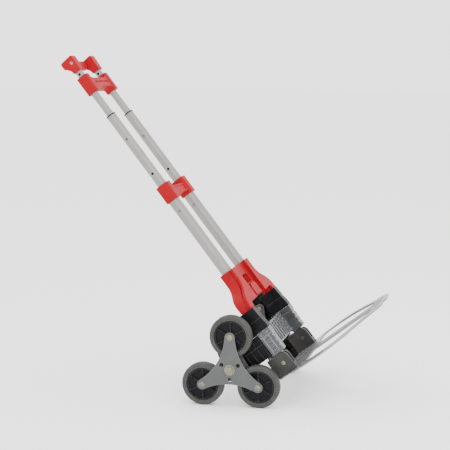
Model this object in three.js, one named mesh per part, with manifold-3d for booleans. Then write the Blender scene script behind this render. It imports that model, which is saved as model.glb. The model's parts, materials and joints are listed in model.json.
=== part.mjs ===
// Folding stair-climbing hand truck, with a three-wheel star on each side.
// Millimetres, +X forward, +Y to the truck's right-hand wheels, +Z up.
// The frame leans back over its axle, as it does while it is pulled along.
// Inside the leaning group, x runs forward from the axle, square to the tubes,
// and z runs up along the tubes. A [low, high] pair is a span.
import * as THREE from 'three';
import { mergeVertices } from 'three/addons/utils/BufferGeometryUtils.js';
import Module from 'manifold-3d';

const wasm = await Module();
wasm.setup();

// ---------- driving dimensions ----------
const GAP = 0.3;                // between touching pieces and in running fits
const LEAN = 37.7;              // degrees, frame leaning back from upright
const PAST = 1;                 // how far a cutting tool runs past a face

const WHEEL_D = 125;
const TYRE_W = 29;
const TYRE_T = 14.5;            // rubber on the rim
const WHEEL_PLAY = 2.5;         // tyre to star plate
const STAR_R = 95;              // axle to wheel bolt
const STAR_CLEAR = 15;          // column to star
const STAR_PLATE_T = 3;
const STAR_ARM_R = 14.5;        // round end of an arm
const STAR_PULL = 24.5;         // axle to the point that hollows an edge between two arms
const STAR_HOLE_R = 5;
const STAR_HOLE_AT = 28;
const STAR_HUB_R = 16;
const RIM_RIBS = 6;
const RIM_WEB = 10;             // thickness of a rim's disc
const BOLT_R = 4;
const BOLT_HEAD_T = 4;
const AXLE_R = 8;
const NUT_T = 8;
const WASHER_R = 15.5;
const WASHER_T = 1.6;

const TUBE_X = 124.5;           // tube centre line, ahead of the axle
const TUBE_Y = 84;              // tube centre line, from the middle
const OUTER_D = 35;
const WALL = 1.5;
const MIDDLE_PLAY = 1.5;        // round the middle tube, inside the outer one
const INNER_PLAY = 2;
const OUTER_LENGTH = 398;
const MIDDLE_LENGTH = 381;
const INNER_LENGTH = 312;
const MIDDLE_OVERLAP = 118;     // how much of the middle tube stays in the outer one
const INNER_OVERLAP = 111;
const OUTER_HOLE = 88;          // lock hole, below the top of its tube
const MIDDLE_HOLES = [214, 86];
const INNER_HOLE = 46;
const LOCK_HOLE_R = 4;
const LOCK_PIN_R = 3.5;
const LOCK_PIN_BACK = 0.4;      // a drawn-back pin lies this far inside its tube's face

const COLUMN_IN = 145;          // inner face of a column
const COLUMN_W = 32;
const COLUMN_DEPTH = 41.5;
const COLUMN_Z = [-45, 34];
const COLUMN_BACK = 12.5;       // tube centre line to the back of a column
const FLANGE_T = 18.5;
const LEDGE = 1;                // flange, proud of the column
const GROOVE = 2.5;             // depth of the column's grooves
const GROOVE_W = 4;
const GROOVE_PITCH = 17;
const BLOCK_BACK = 33.5;        // tube centre line to the back of a corner block
const BLOCK_DEPTH = 59;
const BLOCK_FLARE = 5;          // how much further forward a block's foot is
const BLOCK_H = 70;
const SEAM_AT = 36;             // seam below the top of a block
const PANEL_BACK = 11.5;
const PANEL_T = 7;
const PANEL_Z = [-35, 35];
const PANEL_HEM = [4, 5];       // how far the hems stand forward, and their height
const CHEEK_OUT = 3;            // bracket's cheek, proud of the column
const CHEEK_ROUND = 12;
const CHEEK_REACH = 24;         // behind the axle
const CHEEK_HALF = 19;          // half height beside the axle
const BOSS_R = 20;
const POCKET = 16;
const POCKET_PITCH = 20;
const POCKET_DEPTH = 6;

const YOKE_H = 126.4;
const YOKE_LEG = 36;            // width of a leg at its foot
const YOKE_ARCH = 14;           // height of the arch between the feet
const YOKE_REAR = 3;            // socket wall behind the tube
const YOKE_FRONT = 7;
const YOKE_SIDE = 4.5;
const YOKE_WEB = [-6.5, 11.5];  // rear and front face of the web, from the tube centre line
const YOKE_HEEL = 8;
const SOCKET_DEPTH = 81;
const WINDOW_H = 30;
const WINDOW_AT = 61.4;         // above the yoke's foot
const LATCH_AT = 17.4;
const LATCH_H = 40;
const LATCH_HALF = 32;
const LATCH_CHAMFER = 12;
const LATCH_PROUD = 9;          // in front of the web
const LATCH_SEAT = 2;           // inside its pocket
const LATCH_TRAVEL = 4;

const PIN_AHEAD = 2.9;          // plate hinge, ahead of the tube centre line
const PIN_DROP = 32;            // below the column
const PIN_R = 4;
const PIN_HEAD = [6, 2];        // radius and height
const FOOT_REAR = 41;           // hinge to the back of a foot
const FOOT_FRONT = 24;
const FOOT_CLEAR = 3;           // foot to column
const FOOT_ROUND = 18;           // lets the foot swing past the column
const PLATE_DROP = 32;          // hinge down to the plate's top face
const PLATE_T = 4;
const TONGUE_R = 14;
const TONGUE_T = 16;

const BRACE_DOWN = 52;          // sleeve below the top of the outer tube
const BRACE_LIP = 6;            // sleeve above it
const BRACE_WALL = [2.5, 4, 4.5];      // behind, beside and in front of the tube
const BRACE_BAR = [11, 41];     // bar, above the foot of the sleeves
const RELEASE_DOWN = 116;       // foot of the sleeves, below the top of the inner tube
const RELEASE_H = 61.5;
const RELEASE_WALL = [6.5, 5, 8];
const RELEASE_BAR = [13, 47];
const RELEASE_GROOVE = [27, 33];
const CAP_DOWN = 36;
const CAP_UP = 16;
const CAP_WALL = 6;
const CAP_FRONT = 5.5;
const CAP_REAR = 28.5;          // tube centre line to the back of a cap
const CAP_SCREW = { ahead: 3, down: 6, r: 2, head: 4.8, headT: 1.8, length: 5 };
const GRIP_DEPTH = 20;
const GRIP_H = 29;
const GRIP_DOWN = 14;
const COLLAR_T = 3.4;
const COLLAR_LIP = 1.2;
const SPIGOT = 12;

// ---------- sizes that follow from them ----------
const COLUMN_Y = [COLUMN_IN, COLUMN_IN + COLUMN_W];
const COLUMN_X = [TUBE_X - COLUMN_BACK, TUBE_X - COLUMN_BACK + COLUMN_DEPTH];
const BLOCK_X = [TUBE_X - BLOCK_BACK, TUBE_X - BLOCK_BACK + BLOCK_DEPTH];
const PANEL_X = [TUBE_X - PANEL_BACK, TUBE_X - PANEL_BACK + PANEL_T];

const RIM_D = WHEEL_D - 2 * TYRE_T;
const STAR_INSIDE = TYRE_W + 2 * WHEEL_PLAY;
const STAR_Y = COLUMN_Y[1] + STAR_CLEAR + STAR_PLATE_T + STAR_INSIDE / 2;
const AXLE_END_R = AXLE_R - 2;

const MIDDLE_D = OUTER_D - 2 * (WALL + MIDDLE_PLAY);
const INNER_D = MIDDLE_D - 2 * (WALL + INNER_PLAY);
const YOKE_LOW = COLUMN_Z[1] + BLOCK_H + 2 * GAP;
const YOKE_TOP = YOKE_LOW + YOKE_H;
const SOCKET_HALF = OUTER_D / 2 + YOKE_SIDE;
const OUTER_LOW = YOKE_TOP - SOCKET_DEPTH;
const OUTER_TOP = OUTER_LOW + OUTER_LENGTH;
const MIDDLE_LOW = OUTER_TOP - MIDDLE_OVERLAP;
const MIDDLE_TOP = MIDDLE_LOW + MIDDLE_LENGTH;
const INNER_LOW = MIDDLE_TOP - INNER_OVERLAP;
const INNER_TOP = INNER_LOW + INNER_LENGTH;

const PIN = { x: TUBE_X + PIN_AHEAD, z: COLUMN_Z[0] - PIN_DROP };
const PLATE_TOP = PIN.z - PLATE_DROP;
const PLATE_REAR = PIN.x - FOOT_REAR;

// ---------- materials ----------
function finish(color, roughness, metalness) {
  return new THREE.MeshStandardMaterial({ color, roughness, metalness });
}

const RED = finish(0xc42a30, 0.42, 0);
const BLACK = finish(0x17171a, 0.5, 0);
const TUBE = finish(0xb0aea8, 0.34, 1);
const COLUMN_GREY = finish(0x8a8d91, 0.35, 0);
const FOOT_GREY = finish(0x4c4c4a, 0.5, 0);
const PLATE_METAL = finish(0xc2c4c6, 0.4, 1);
const STAR_GREY = finish(0x777a7a, 0.5, 0.2);
const TYRE_GREY = finish(0x5a5a58, 0.85, 0);
const ZINC = finish(0xbcb9ac, 0.3, 1);

// ---------- roundness: sides of a circle ----------
const TUBE_SIDES = 24;
const ROD_SIDES = 20;
const HOLE_SIDES = 10;
const RIM_SIDES = 18;
const TYRE_SIDES = 30;
const BOLT_SIDES = 12;

// ---------- solids ----------
function solid(geometry) {
  const bare = geometry.index ? geometry.toNonIndexed() : geometry.clone();
  bare.deleteAttribute('normal');
  bare.deleteAttribute('uv');
  const merged = mergeVertices(bare, 1e-4);
  const vertProperties = new Float32Array(merged.attributes.position.array);
  const triVerts = new Uint32Array(merged.index.array);
  return new wasm.Manifold(new wasm.Mesh({ numProp: 3, vertProperties, triVerts }));
}

function geometryOf(body) {
  const mesh = body.getMesh();
  const geometry = new THREE.BufferGeometry();
  geometry.setAttribute('position', new THREE.BufferAttribute(mesh.vertProperties, 3));
  geometry.setIndex(new THREE.BufferAttribute(mesh.triVerts, 1));
  return geometry;
}

const joined = (...parts) => parts.reduce((sum, part) => sum.add(part));
const cut = (body, ...tools) => tools.reduce((left, tool) => left.subtract(tool), body);

// a block from three [low, high] spans
function block(x, y, z) {
  const box = new THREE.BoxGeometry(x[1] - x[0], y[1] - y[0], z[1] - z[0]);
  return solid(box.translate((x[0] + x[1]) / 2, (y[0] + y[1]) / 2, (z[0] + z[1]) / 2));
}

// the span of a piece on one side of the truck: side is +1 or -1
const across = (side, near, far) => (side > 0 ? [near, far] : [-far, -near]);

// a polygon with its corners rounded: points are [x, y] or [x, y, radius]
function rounded(points, radius = 0) {
  const shape = new THREE.Shape();
  points.forEach((point, i) => {
    const here = new THREE.Vector2(point[0], point[1]);
    const before = points[(i + points.length - 1) % points.length];
    const after = points[(i + 1) % points.length];
    const toBefore = new THREE.Vector2(before[0], before[1]).sub(here);
    const toAfter = new THREE.Vector2(after[0], after[1]).sub(here);
    const room = Math.min(toBefore.length(), toAfter.length()) * 0.49;
    const r = Math.min(point[2] ?? radius, room);
    const start = here.clone().add(toBefore.setLength(r));
    const end = here.clone().add(toAfter.setLength(r));
    if (i === 0) shape.moveTo(start.x, start.y);
    else shape.lineTo(start.x, start.y);
    if (r > 0) shape.quadraticCurveTo(here.x, here.y, end.x, end.y);
  });
  shape.closePath();
  return shape;
}

const extruded = (shape, depth, curveSegments = 5) =>
  new THREE.ExtrudeGeometry(shape, { depth, bevelEnabled: false, curveSegments });

// an (x, z) outline given its thickness along y
function alongY(shape, y, curveSegments) {
  const geometry = extruded(shape, y[1] - y[0], curveSegments);
  return solid(geometry.rotateX(Math.PI / 2).translate(0, y[1], 0));
}

// a (y, z) outline given its thickness along x
function alongX(shape, x, curveSegments) {
  const geometry = extruded(shape, x[1] - x[0], curveSegments);
  geometry.rotateX(Math.PI / 2).rotateZ(Math.PI / 2);
  return solid(geometry.translate(x[0], 0, 0));
}

// an (x, y) outline given its thickness along z
function alongZ(shape, z, curveSegments) {
  return solid(extruded(shape, z[1] - z[0], curveSegments).translate(0, 0, z[0]));
}

function rodY(r, y, x = 0, z = 0, sides = ROD_SIDES) {
  const rod = new THREE.CylinderGeometry(r, r, y[1] - y[0], sides);
  return solid(rod.translate(x, (y[0] + y[1]) / 2, z));
}

function rodZ(r, z, x = 0, y = 0, sides = TUBE_SIDES) {
  const rod = new THREE.CylinderGeometry(r, r, z[1] - z[0], sides);
  return solid(rod.rotateX(Math.PI / 2).translate(x, y, (z[0] + z[1]) / 2));
}

// a hexagon across its corners, along y
const hexY = (r, y) => rodY(r, y, 0, 0, 6);

// profile points are [radius, y], closed on itself or on the axis
function turned(profile, sides) {
  return new THREE.LatheGeometry(profile.map(([r, y]) => new THREE.Vector2(r, y)), sides);
}

function mesh(name, body, material) {
  const geometry = body.isBufferGeometry ? body : geometryOf(body);
  const made = new THREE.Mesh(geometry, material);
  made.name = name;
  return made;
}

// ---------- telescopic tubes ----------
// side is +1 or -1, z the span, holes the heights of the lock holes
function tube(side, d, z, holes, holeR = LOCK_HOLE_R) {
  const y = side * TUBE_Y;
  const bore = rodZ(d / 2 - WALL, [z[0] - PAST, z[1] + PAST], TUBE_X, y);
  const drilled = holes.map((height) => rodY(holeR, [y - d, y + d], TUBE_X, height, HOLE_SIDES));
  return cut(rodZ(d / 2, z, TUBE_X, y), bore, ...drilled);
}

// a bush with a flange that rests on the middle tube's rim
function tubeCollar(side) {
  const y = side * TUBE_Y;
  const low = MIDDLE_TOP + GAP;
  const flange = rodZ(MIDDLE_D / 2 + COLLAR_LIP, [low, low + COLLAR_T], TUBE_X, y);
  const spigot = rodZ(MIDDLE_D / 2 - WALL - GAP, [low - SPIGOT, low + PAST], TUBE_X, y);
  const bore = rodZ(INNER_D / 2 + GAP, [low - SPIGOT - PAST, low + COLLAR_T + PAST], TUBE_X, y);
  return cut(joined(flange, spigot), bore);
}

// a lock pin drawn back flush with the tube that carries it
function lockPin(side, d, height) {
  const y = side * TUBE_Y;
  const reach = d / 2 - LOCK_PIN_BACK;
  return rodY(LOCK_PIN_R, [y - reach, y + reach], TUBE_X, height, HOLE_SIDES);
}

// ---------- lower frame ----------
function yokeOutline() {
  const [, outer] = COLUMN_Y;
  const socket = TUBE_Y + SOCKET_HALF;
  const inner = outer - YOKE_LEG;
  const arch = YOKE_LOW + YOKE_ARCH;
  const bend = 28;                // length of the arch's round corner, along y
  const spring = YOKE_LOW + 4;    // where that corner starts
  const outline = new THREE.Shape();
  outline.moveTo(-socket, YOKE_TOP);
  outline.lineTo(-socket, YOKE_TOP - 32);
  outline.bezierCurveTo(-socket, YOKE_TOP - 68, -outer, YOKE_TOP - 58, -outer, YOKE_LOW + 24);
  outline.lineTo(-outer, YOKE_LOW);
  outline.lineTo(-inner, YOKE_LOW);
  outline.lineTo(-inner, spring);
  outline.quadraticCurveTo(-inner + 4, arch, -inner + bend, arch);
  outline.lineTo(inner - bend, arch);
  outline.quadraticCurveTo(inner - 4, arch, inner, spring);
  outline.lineTo(inner, YOKE_LOW);
  outline.lineTo(outer, YOKE_LOW);
  outline.lineTo(outer, YOKE_LOW + 24);
  outline.bezierCurveTo(outer, YOKE_TOP - 58, socket, YOKE_TOP - 68, socket, YOKE_TOP - 32);
  outline.lineTo(socket, YOKE_TOP);
  outline.closePath();
  return outline;
}

// the moulding that joins both tubes and splays down to the corner blocks
function yoke() {
  const rear = TUBE_X - OUTER_D / 2 - YOKE_REAR;
  const front = TUBE_X + OUTER_D / 2 + YOKE_FRONT;
  const [webRear, webFront] = YOKE_WEB.map((from) => TUBE_X + from);
  const between = [SOCKET_HALF - TUBE_Y, TUBE_Y - SOCKET_HALF];
  const above = YOKE_TOP + PAST;
  const sockets = [-1, 1].map((side) =>
    rodZ(OUTER_D / 2 + GAP, [OUTER_LOW - GAP, above], TUBE_X, side * TUBE_Y));
  const heel = rounded([[rear - PAST, YOKE_LOW - PAST], [rear + YOKE_HEEL, YOKE_LOW - PAST],
    [rear, YOKE_LOW + 50], [rear - PAST, YOKE_LOW + 50]]);
  const windowZ = [YOKE_LOW + WINDOW_AT, YOKE_LOW + WINDOW_AT + WINDOW_H];
  const pocket = webFront - LATCH_SEAT - LATCH_TRAVEL - GAP;
  return cut(
    alongX(yokeOutline(), [rear, front], 6),
    ...sockets,
    block([webFront, front + PAST], between, [YOKE_LOW + 8, above]),
    block([rear - PAST, webRear], between, [YOKE_LOW - PAST, above]),
    block([webRear - PAST, webFront + PAST], [-LATCH_HALF, LATCH_HALF], windowZ),
    alongX(latchOutline(GAP), [pocket, webFront + PAST]),
    alongY(heel, [-COLUMN_Y[1] - PAST, COLUMN_Y[1] + PAST]));
}

// the catch for the folded plate: a chamfered push pad in a pocket of the web
function latchOutline(extra) {
  const half = LATCH_HALF + extra;
  const low = YOKE_LOW + LATCH_AT - extra;
  const high = YOKE_LOW + LATCH_AT + LATCH_H + extra;
  return rounded([[-half, low], [half, low], [half, high - LATCH_CHAMFER], [half - LATCH_CHAMFER, high],
    [LATCH_CHAMFER - half, high], [-half, high - LATCH_CHAMFER]], 3);
}

function plateLatch() {
  const web = TUBE_X + YOKE_WEB[1];
  return alongX(latchOutline(0), [web - LATCH_SEAT, web + LATCH_PROUD]);
}

function cornerBlock(side) {
  const low = COLUMN_Z[1] + GAP;
  const high = low + BLOCK_H;
  const [rear, front] = BLOCK_X;
  const seam = high - SEAM_AT;
  const outline = rounded([[rear, low], [front + BLOCK_FLARE, low], [front + BLOCK_FLARE, low + 12],
    [front + 2, seam - 1], [front + 0.6, seam - 1], [front + 0.6, seam + 1], [front + 2, seam + 1],
    [front, high], [rear, high]]);
  return alongY(outline, across(side, ...COLUMN_Y));
}

// a ribbed column with a hinge tongue below it
function column(side) {
  const [inner, outer] = COLUMN_Y;
  const [rear, front] = COLUMN_X;
  const [low, high] = COLUMN_Z;
  const post = block([rear, front], across(side, inner, outer), [low, high]);
  const flange = block([rear, front + LEDGE], across(side, inner - LEDGE, outer + LEDGE),
    [high - FLANGE_T, high]);
  const grooves = [];
  const first = high - FLANGE_T - GROOVE_PITCH / 2;
  for (let z = first; z > low + GROOVE_PITCH / 2; z -= GROOVE_PITCH) {
    const groove = [z - GROOVE_W / 2, z + GROOVE_W / 2];
    const wide = across(side, inner - PAST, outer + PAST);
    grooves.push(block([front - GROOVE, front + PAST], wide, groove));
    grooves.push(block([rear + 8, front - 10], across(side, outer - GROOVE, outer + PAST), groove));
  }
  const middle = (inner + outer) / 2;
  const tongueY = across(side, middle - TONGUE_T / 2, middle + TONGUE_T / 2);
  const neck = block([PIN.x - TONGUE_R, PIN.x + TONGUE_R], tongueY, [PIN.z, low + PAST]);
  const eye = rodY(TONGUE_R, tongueY, PIN.x, PIN.z);
  const bore = rodY(PIN_R + GAP, across(side, inner, outer), PIN.x, PIN.z, HOLE_SIDES);
  return cut(joined(post, flange, neck, eye), ...grooves, bore);
}

function crossPanel() {
  const half = COLUMN_Y[0] - LEDGE - GAP;
  const [low, high] = PANEL_Z;
  const [rear, front] = PANEL_X;
  const [hemOut, hemH] = PANEL_HEM;
  const tabs = [-1, 1].map((side) => block([rear, front], across(side, half - PAST, COLUMN_Y[0] - GAP),
    [low, COLUMN_Z[1] - FLANGE_T - GAP]));
  const hems = [low, high - hemH].map((z) => block([rear, front + hemOut], [-half, half], [z, z + hemH]));
  return joined(block([rear, front], [-half, half], PANEL_Z), ...tabs, ...hems);
}

// carries the axle behind a column, with a pocketed face
function axleBracket(side) {
  const rear = COLUMN_X[0] - GAP;
  const top = COLUMN_Z[1] - 4;
  const low = COLUMN_Z[0] + 4;
  const outer = COLUMN_Y[1] + CHEEK_OUT;
  const shoulder = COLUMN_X[0] - 57;
  const cheek = alongY(rounded([[rear, low], [rear, top], [shoulder, top, 6],
    [6 - CHEEK_REACH, CHEEK_HALF, CHEEK_ROUND], [-CHEEK_REACH, 0, CHEEK_ROUND],
    [6 - CHEEK_REACH, -CHEEK_HALF, CHEEK_ROUND], [shoulder - 3, low, 6]]),
  across(side, COLUMN_Y[0] + 5, outer));
  const starFace = STAR_Y - STAR_INSIDE / 2 - STAR_PLATE_T;
  const boss = rodY(BOSS_R, across(side, COLUMN_Y[1], starFace - GAP));
  const pocketY = across(side, outer - POCKET_DEPTH, outer + PAST);
  const pockets = [];
  for (let x = rear - 5; x - POCKET > BOSS_R + 6; x -= POCKET_PITCH) {
    for (const z of [[4, top - 4], [low + 4, 0]]) pockets.push(block([x - POCKET, x], pocketY, z));
  }
  return cut(joined(cheek, boss), ...pockets, rodY(AXLE_R + GAP, across(side, COLUMN_Y[0], starFace)));
}

function axle() {
  const end = STAR_Y + STAR_INSIDE / 2 + STAR_PLATE_T + GAP;
  const tip = end + WASHER_T + NUT_T + PAST;
  return joined(rodY(AXLE_R, [-end, end]), rodY(AXLE_END_R, [-tip, tip]));
}

function axleNut(side) {
  const near = STAR_Y + STAR_INSIDE / 2 + STAR_PLATE_T + 2 * GAP;
  const far = near + WASHER_T + NUT_T;
  const washer = rodY(WASHER_R, across(side, near, near + WASHER_T));
  const nut = hexY(AXLE_END_R + 5.5, across(side, near, far));
  return cut(joined(washer, nut), rodY(AXLE_END_R + GAP, across(side, near - PAST, far + PAST)));
}

// ---------- braces, release bar and handle ----------
// two boxy sleeves on the tubes; x span, half width and z span are given
function sleeves(x, half, z, corner) {
  return [-1, 1].map((side) => {
    const y = side * TUBE_Y;
    return alongZ(rounded([[x[0], y - half], [x[1], y - half], [x[1], y + half], [x[0], y + half]],
      corner), z, 3);
  });
}

const bores = (r, z) => [-1, 1].map((side) => rodZ(r, z, TUBE_X, side * TUBE_Y));

// the x span of a sleeve that holds a tube, from the walls behind and before it
const sleeveX = (d, [behind, , before]) => [TUBE_X - d / 2 - behind, TUBE_X + d / 2 + before];

function midBrace() {
  const low = OUTER_TOP - BRACE_DOWN;
  const high = OUTER_TOP + BRACE_LIP;
  const x = sleeveX(OUTER_D, BRACE_WALL);
  const half = OUTER_D / 2 + BRACE_WALL[1];
  const reach = TUBE_Y - half + 3;
  const bar = block([x[0] + 9, x[1] - 7], [-reach, reach], BRACE_BAR.map((up) => low + up));
  return cut(joined(...sleeves(x, half, [low, high], 9), bar),
    ...bores(OUTER_D / 2 + GAP, [low - PAST, OUTER_TOP + GAP]),
    ...bores(MIDDLE_D / 2 + GAP, [OUTER_TOP, high + PAST]));
}

// the squeeze bar that draws the lock pins back
function releaseBar() {
  const foot = INNER_TOP - RELEASE_DOWN;
  const [low, high] = RELEASE_BAR.map((up) => foot + up);
  const x = sleeveX(INNER_D, RELEASE_WALL);
  const half = INNER_D / 2 + RELEASE_WALL[1];
  const reach = TUBE_Y - half + 3;
  const arch = new THREE.Shape();
  arch.moveTo(-reach, low - 10);
  arch.quadraticCurveTo(-reach + 12, low, -reach + 30, low);
  arch.lineTo(reach - 30, low);
  arch.quadraticCurveTo(reach - 12, low, reach, low - 10);
  arch.lineTo(reach, high + 8);
  arch.quadraticCurveTo(reach - 14, high, reach - 30, high);
  arch.lineTo(-reach + 30, high);
  arch.quadraticCurveTo(-reach + 14, high, -reach, high + 8);
  arch.closePath();
  const front = x[1] - 3;
  const groove = block([front - 2.5, front + PAST], [-reach + 12, reach - 12],
    RELEASE_GROOVE.map((up) => foot + up));
  return cut(joined(...sleeves(x, half, [foot, foot + RELEASE_H], 8), alongX(arch, [x[0] + 4, front])),
    ...bores(INNER_D / 2 + GAP, [foot - PAST, foot + RELEASE_H + PAST]), groove);
}

const capScrewAt = [TUBE_X + CAP_SCREW.ahead, INNER_TOP - CAP_SCREW.down];

function handleCap(side) {
  const rear = TUBE_X - CAP_REAR;
  const front = TUBE_X + INNER_D / 2 + CAP_FRONT;
  const low = INNER_TOP - CAP_DOWN;
  const top = INNER_TOP + CAP_UP;
  const half = INNER_D / 2 + CAP_WALL;
  const y = side * TUBE_Y;
  const outline = rounded([[rear, low + 26, 8], [TUBE_X - INNER_D / 2 - 1, low, 3], [front - 2.5, low, 2],
    [front, top, 6], [rear, top - 3, 6]]);
  const screwHole = rodY(CAP_SCREW.r + GAP, across(side, TUBE_Y + INNER_D / 2, TUBE_Y + half + PAST),
    ...capScrewAt, HOLE_SIDES);
  return cut(alongY(outline, [y - half, y + half]),
    rodZ(INNER_D / 2 + GAP, [low - PAST, INNER_TOP + GAP], TUBE_X, y), screwHole);
}

function capScrew(side) {
  const face = TUBE_Y + INNER_D / 2 + CAP_WALL + GAP;
  const head = rodY(CAP_SCREW.head, across(side, face, face + CAP_SCREW.headT), ...capScrewAt, BOLT_SIDES);
  const shank = rodY(CAP_SCREW.r, across(side, face - CAP_SCREW.length, face + CAP_SCREW.headT / 2),
    ...capScrewAt, HOLE_SIDES);
  return joined(head, shank);
}

function handleGrip() {
  const half = TUBE_Y - INNER_D / 2 - CAP_WALL - GAP;
  const rear = TUBE_X - CAP_REAR - 2;
  const front = rear + GRIP_DEPTH;
  const low = INNER_TOP - GRIP_DOWN;
  const high = low + GRIP_H;
  return alongY(rounded([[rear, low], [front, low], [front, high], [rear, high]], 7), [-half, half]);
}

// ---------- toe plate ----------
// half outline of the plate: distance ahead of its rear edge, distance outside the feet, corner radius
const PLATE_EDGE = [[0, 0, 6], [30, 0, 10], [60, 31, 20], [110, 59, 30], [176, 61, 30], [232, 37, 30],
  [288, -31, 24], [334, -65, 16], [356, -85, 6]];
// the fingers at its tip: distance ahead, half width, corner radius
const PLATE_TIP = [[356, 40, 2], [348, 40, 2], [348, 31, 2], [366, 31, 3]];
// the outer edge of a slot, and its straight inner edge
const SLOT_EDGE = [[310, -99, 8], [266, -49, 20], [214, 1, 20], [170, 19, 20], [118, 15, 12], [100, -1, 8]];
const SLOT_INNER = [[100, 34, 8], [312, 34, 8]];

const fromFoot = ([x, y, r]) => [PLATE_REAR + x, COLUMN_Y[1] + y, r];
const fromMiddle = ([x, y, r]) => [PLATE_REAR + x, y, r];

function toePlate() {
  const half = [...PLATE_EDGE.map(fromFoot), ...PLATE_TIP.map(fromMiddle)];
  const other = half.map(([x, y, r]) => [x, -y, r]).reverse();
  const z = [PLATE_TOP - PLATE_T, PLATE_TOP];
  const deep = [z[0] - PAST, z[1] + PAST];
  const slot = [...SLOT_INNER.map(fromMiddle), ...SLOT_EDGE.map(fromFoot)];
  const slots = [-1, 1].map((side) =>
    alongZ(rounded(slot.map(([x, y, r]) => [x, side * y, r])), deep, 3));
  return cut(alongZ(rounded([...other, ...half]), z, 3), ...slots);
}

function foot(side) {
  const rear = PLATE_REAR;
  const front = PIN.x + FOOT_FRONT;
  const low = PLATE_TOP + GAP;
  const top = COLUMN_Z[0] - FOOT_CLEAR;
  const [inner, outer] = COLUMN_Y;
  const middle = (inner + outer) / 2;
  const slotHalf = TONGUE_T / 2 + GAP;
  const outline = rounded([[rear, low, 1], [front, low, 1], [front, top, FOOT_ROUND], [rear, top, 4]]);
  const slot = block([PIN.x - TONGUE_R - GAP, front + PAST],
    across(side, middle - slotHalf, middle + slotHalf), [PIN.z - TONGUE_R - GAP, top + PAST]);
  return cut(alongY(outline, across(side, inner, outer), 8), slot,
    rodY(PIN_R + GAP, across(side, inner - PAST, outer + PAST), PIN.x, PIN.z, HOLE_SIDES));
}

function hingePin(side) {
  const [inner, outer] = COLUMN_Y;
  const [headR, headT] = PIN_HEAD;
  const shank = rodY(PIN_R, across(side, inner, outer + GAP + headT / 2), PIN.x, PIN.z, HOLE_SIDES);
  const head = rodY(headR, across(side, outer + GAP, outer + GAP + headT), PIN.x, PIN.z, BOLT_SIDES);
  return joined(shank, head);
}

// ---------- star wheels ----------
const armAngle = (i) => Math.PI / 2 + i * 2 * Math.PI / 3;
const armPoint = (i, r) => [r * Math.cos(armAngle(i)), r * Math.sin(armAngle(i))];

// three round-ended arms joined by hollow edges
function starOutline() {
  const outline = new THREE.Shape();
  for (let i = 0; i < 3; i += 1) {
    const angle = armAngle(i);
    const [x, z] = armPoint(i, STAR_R);
    if (i === 0) outline.moveTo(x + STAR_ARM_R * Math.sin(angle), z - STAR_ARM_R * Math.cos(angle));
    outline.absarc(x, z, STAR_ARM_R, angle - Math.PI / 2, angle + Math.PI / 2, false);
    const between = angle + Math.PI / 3;
    const [nx, nz] = armPoint(i + 1, STAR_R);
    const next = armAngle(i + 1);
    outline.quadraticCurveTo(STAR_PULL * Math.cos(between), STAR_PULL * Math.sin(between),
      nx + STAR_ARM_R * Math.sin(next), nz - STAR_ARM_R * Math.cos(next));
  }
  return outline;
}

function starPlate(side, y) {
  const all = across(side, y[0] - PAST, y[1] + PAST);
  const holes = [0, 1, 2].map((i) => {
    const [x, z] = armPoint(i + 0.5, STAR_HOLE_AT);
    return rodY(STAR_HOLE_R, all, x, z, HOLE_SIDES);
  });
  const bolts = [0, 1, 2].map((i) => rodY(BOLT_R + GAP, all, ...armPoint(i, STAR_R), HOLE_SIDES));
  return cut(alongY(starOutline(), across(side, ...y), 5), rodY(AXLE_R + GAP, all), ...holes, ...bolts);
}

function starHub(side) {
  const half = STAR_INSIDE / 2 - GAP;
  const y = across(side, STAR_Y - half, STAR_Y + half);
  return cut(rodY(STAR_HUB_R, y), rodY(AXLE_R + GAP, [y[0] - PAST, y[1] + PAST]));
}

// head outside, nut inside, and the shank between them
function wheelBolt(side) {
  const out = STAR_INSIDE / 2 + STAR_PLATE_T + GAP;
  const nutR = BOLT_R + 2.5;
  const headR = BOLT_R + 4.5;
  const socketR = BOLT_R - 0.5;
  const top = out + BOLT_HEAD_T;
  const profile = [[0, -top], [nutR, -top], [nutR, -out], [BOLT_R, -out], [BOLT_R, out], [headR, out],
    [headR, top - 1], [headR - 1, top], [socketR, top], [socketR - 0.5, out + 1.5], [0, out + 1.5]];
  const geometry = turned(profile, BOLT_SIDES);
  return side > 0 ? geometry : geometry.rotateZ(Math.PI);
}

function tyre() {
  const r = WHEEL_D / 2;
  const seat = RIM_D / 2 + GAP;
  const half = TYRE_W / 2;
  const profile = [[seat, -half], [r - 6, -half], [r - 1.5, -half + 4.5], [r, -half + 9],
    [r, half - 9], [r - 1.5, half - 4.5], [r - 6, half], [seat, half], [seat, -half]];
  return turned(profile, TYRE_SIDES);
}

// recessed disc with ribs, a boss for the bolt and a rim for the tyre
function wheelRim() {
  const r = RIM_D / 2;
  const boss = STAR_INSIDE / 2 - GAP;
  const bossR = BOLT_R + 8;
  const half = TYRE_W / 2 - 2;
  const web = RIM_WEB / 2;
  const bore = BOLT_R + GAP;
  const profile = [[bore, -boss], [bossR, -boss], [bossR + 1, -web], [r - 5, -web], [r - 4, -half],
    [r, -half], [r, half], [r - 4, half], [r - 5, web], [bossR + 1, web], [bossR, boss], [bore, boss],
    [bore, -boss]];
  const reach = r - 3 - bossR;
  const ribs = [];
  for (let i = 0; i < RIM_RIBS; i += 1) {
    const rib = new THREE.BoxGeometry(reach, 2 * web + 8, 2).translate(bossR + 0.5 + reach / 2, 0, 0);
    ribs.push(solid(rib.rotateY((i + 0.5) * 2 * Math.PI / RIM_RIBS)));
  }
  return joined(solid(turned(profile, RIM_SIDES)), ...ribs);
}

// ---------- assembly ----------
const truck = new THREE.Group();
const SIDES = [['left', -1], ['right', 1]];
const middleLock = OUTER_TOP - OUTER_HOLE;
const innerLock = MIDDLE_TOP - MIDDLE_HOLES[1];

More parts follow.
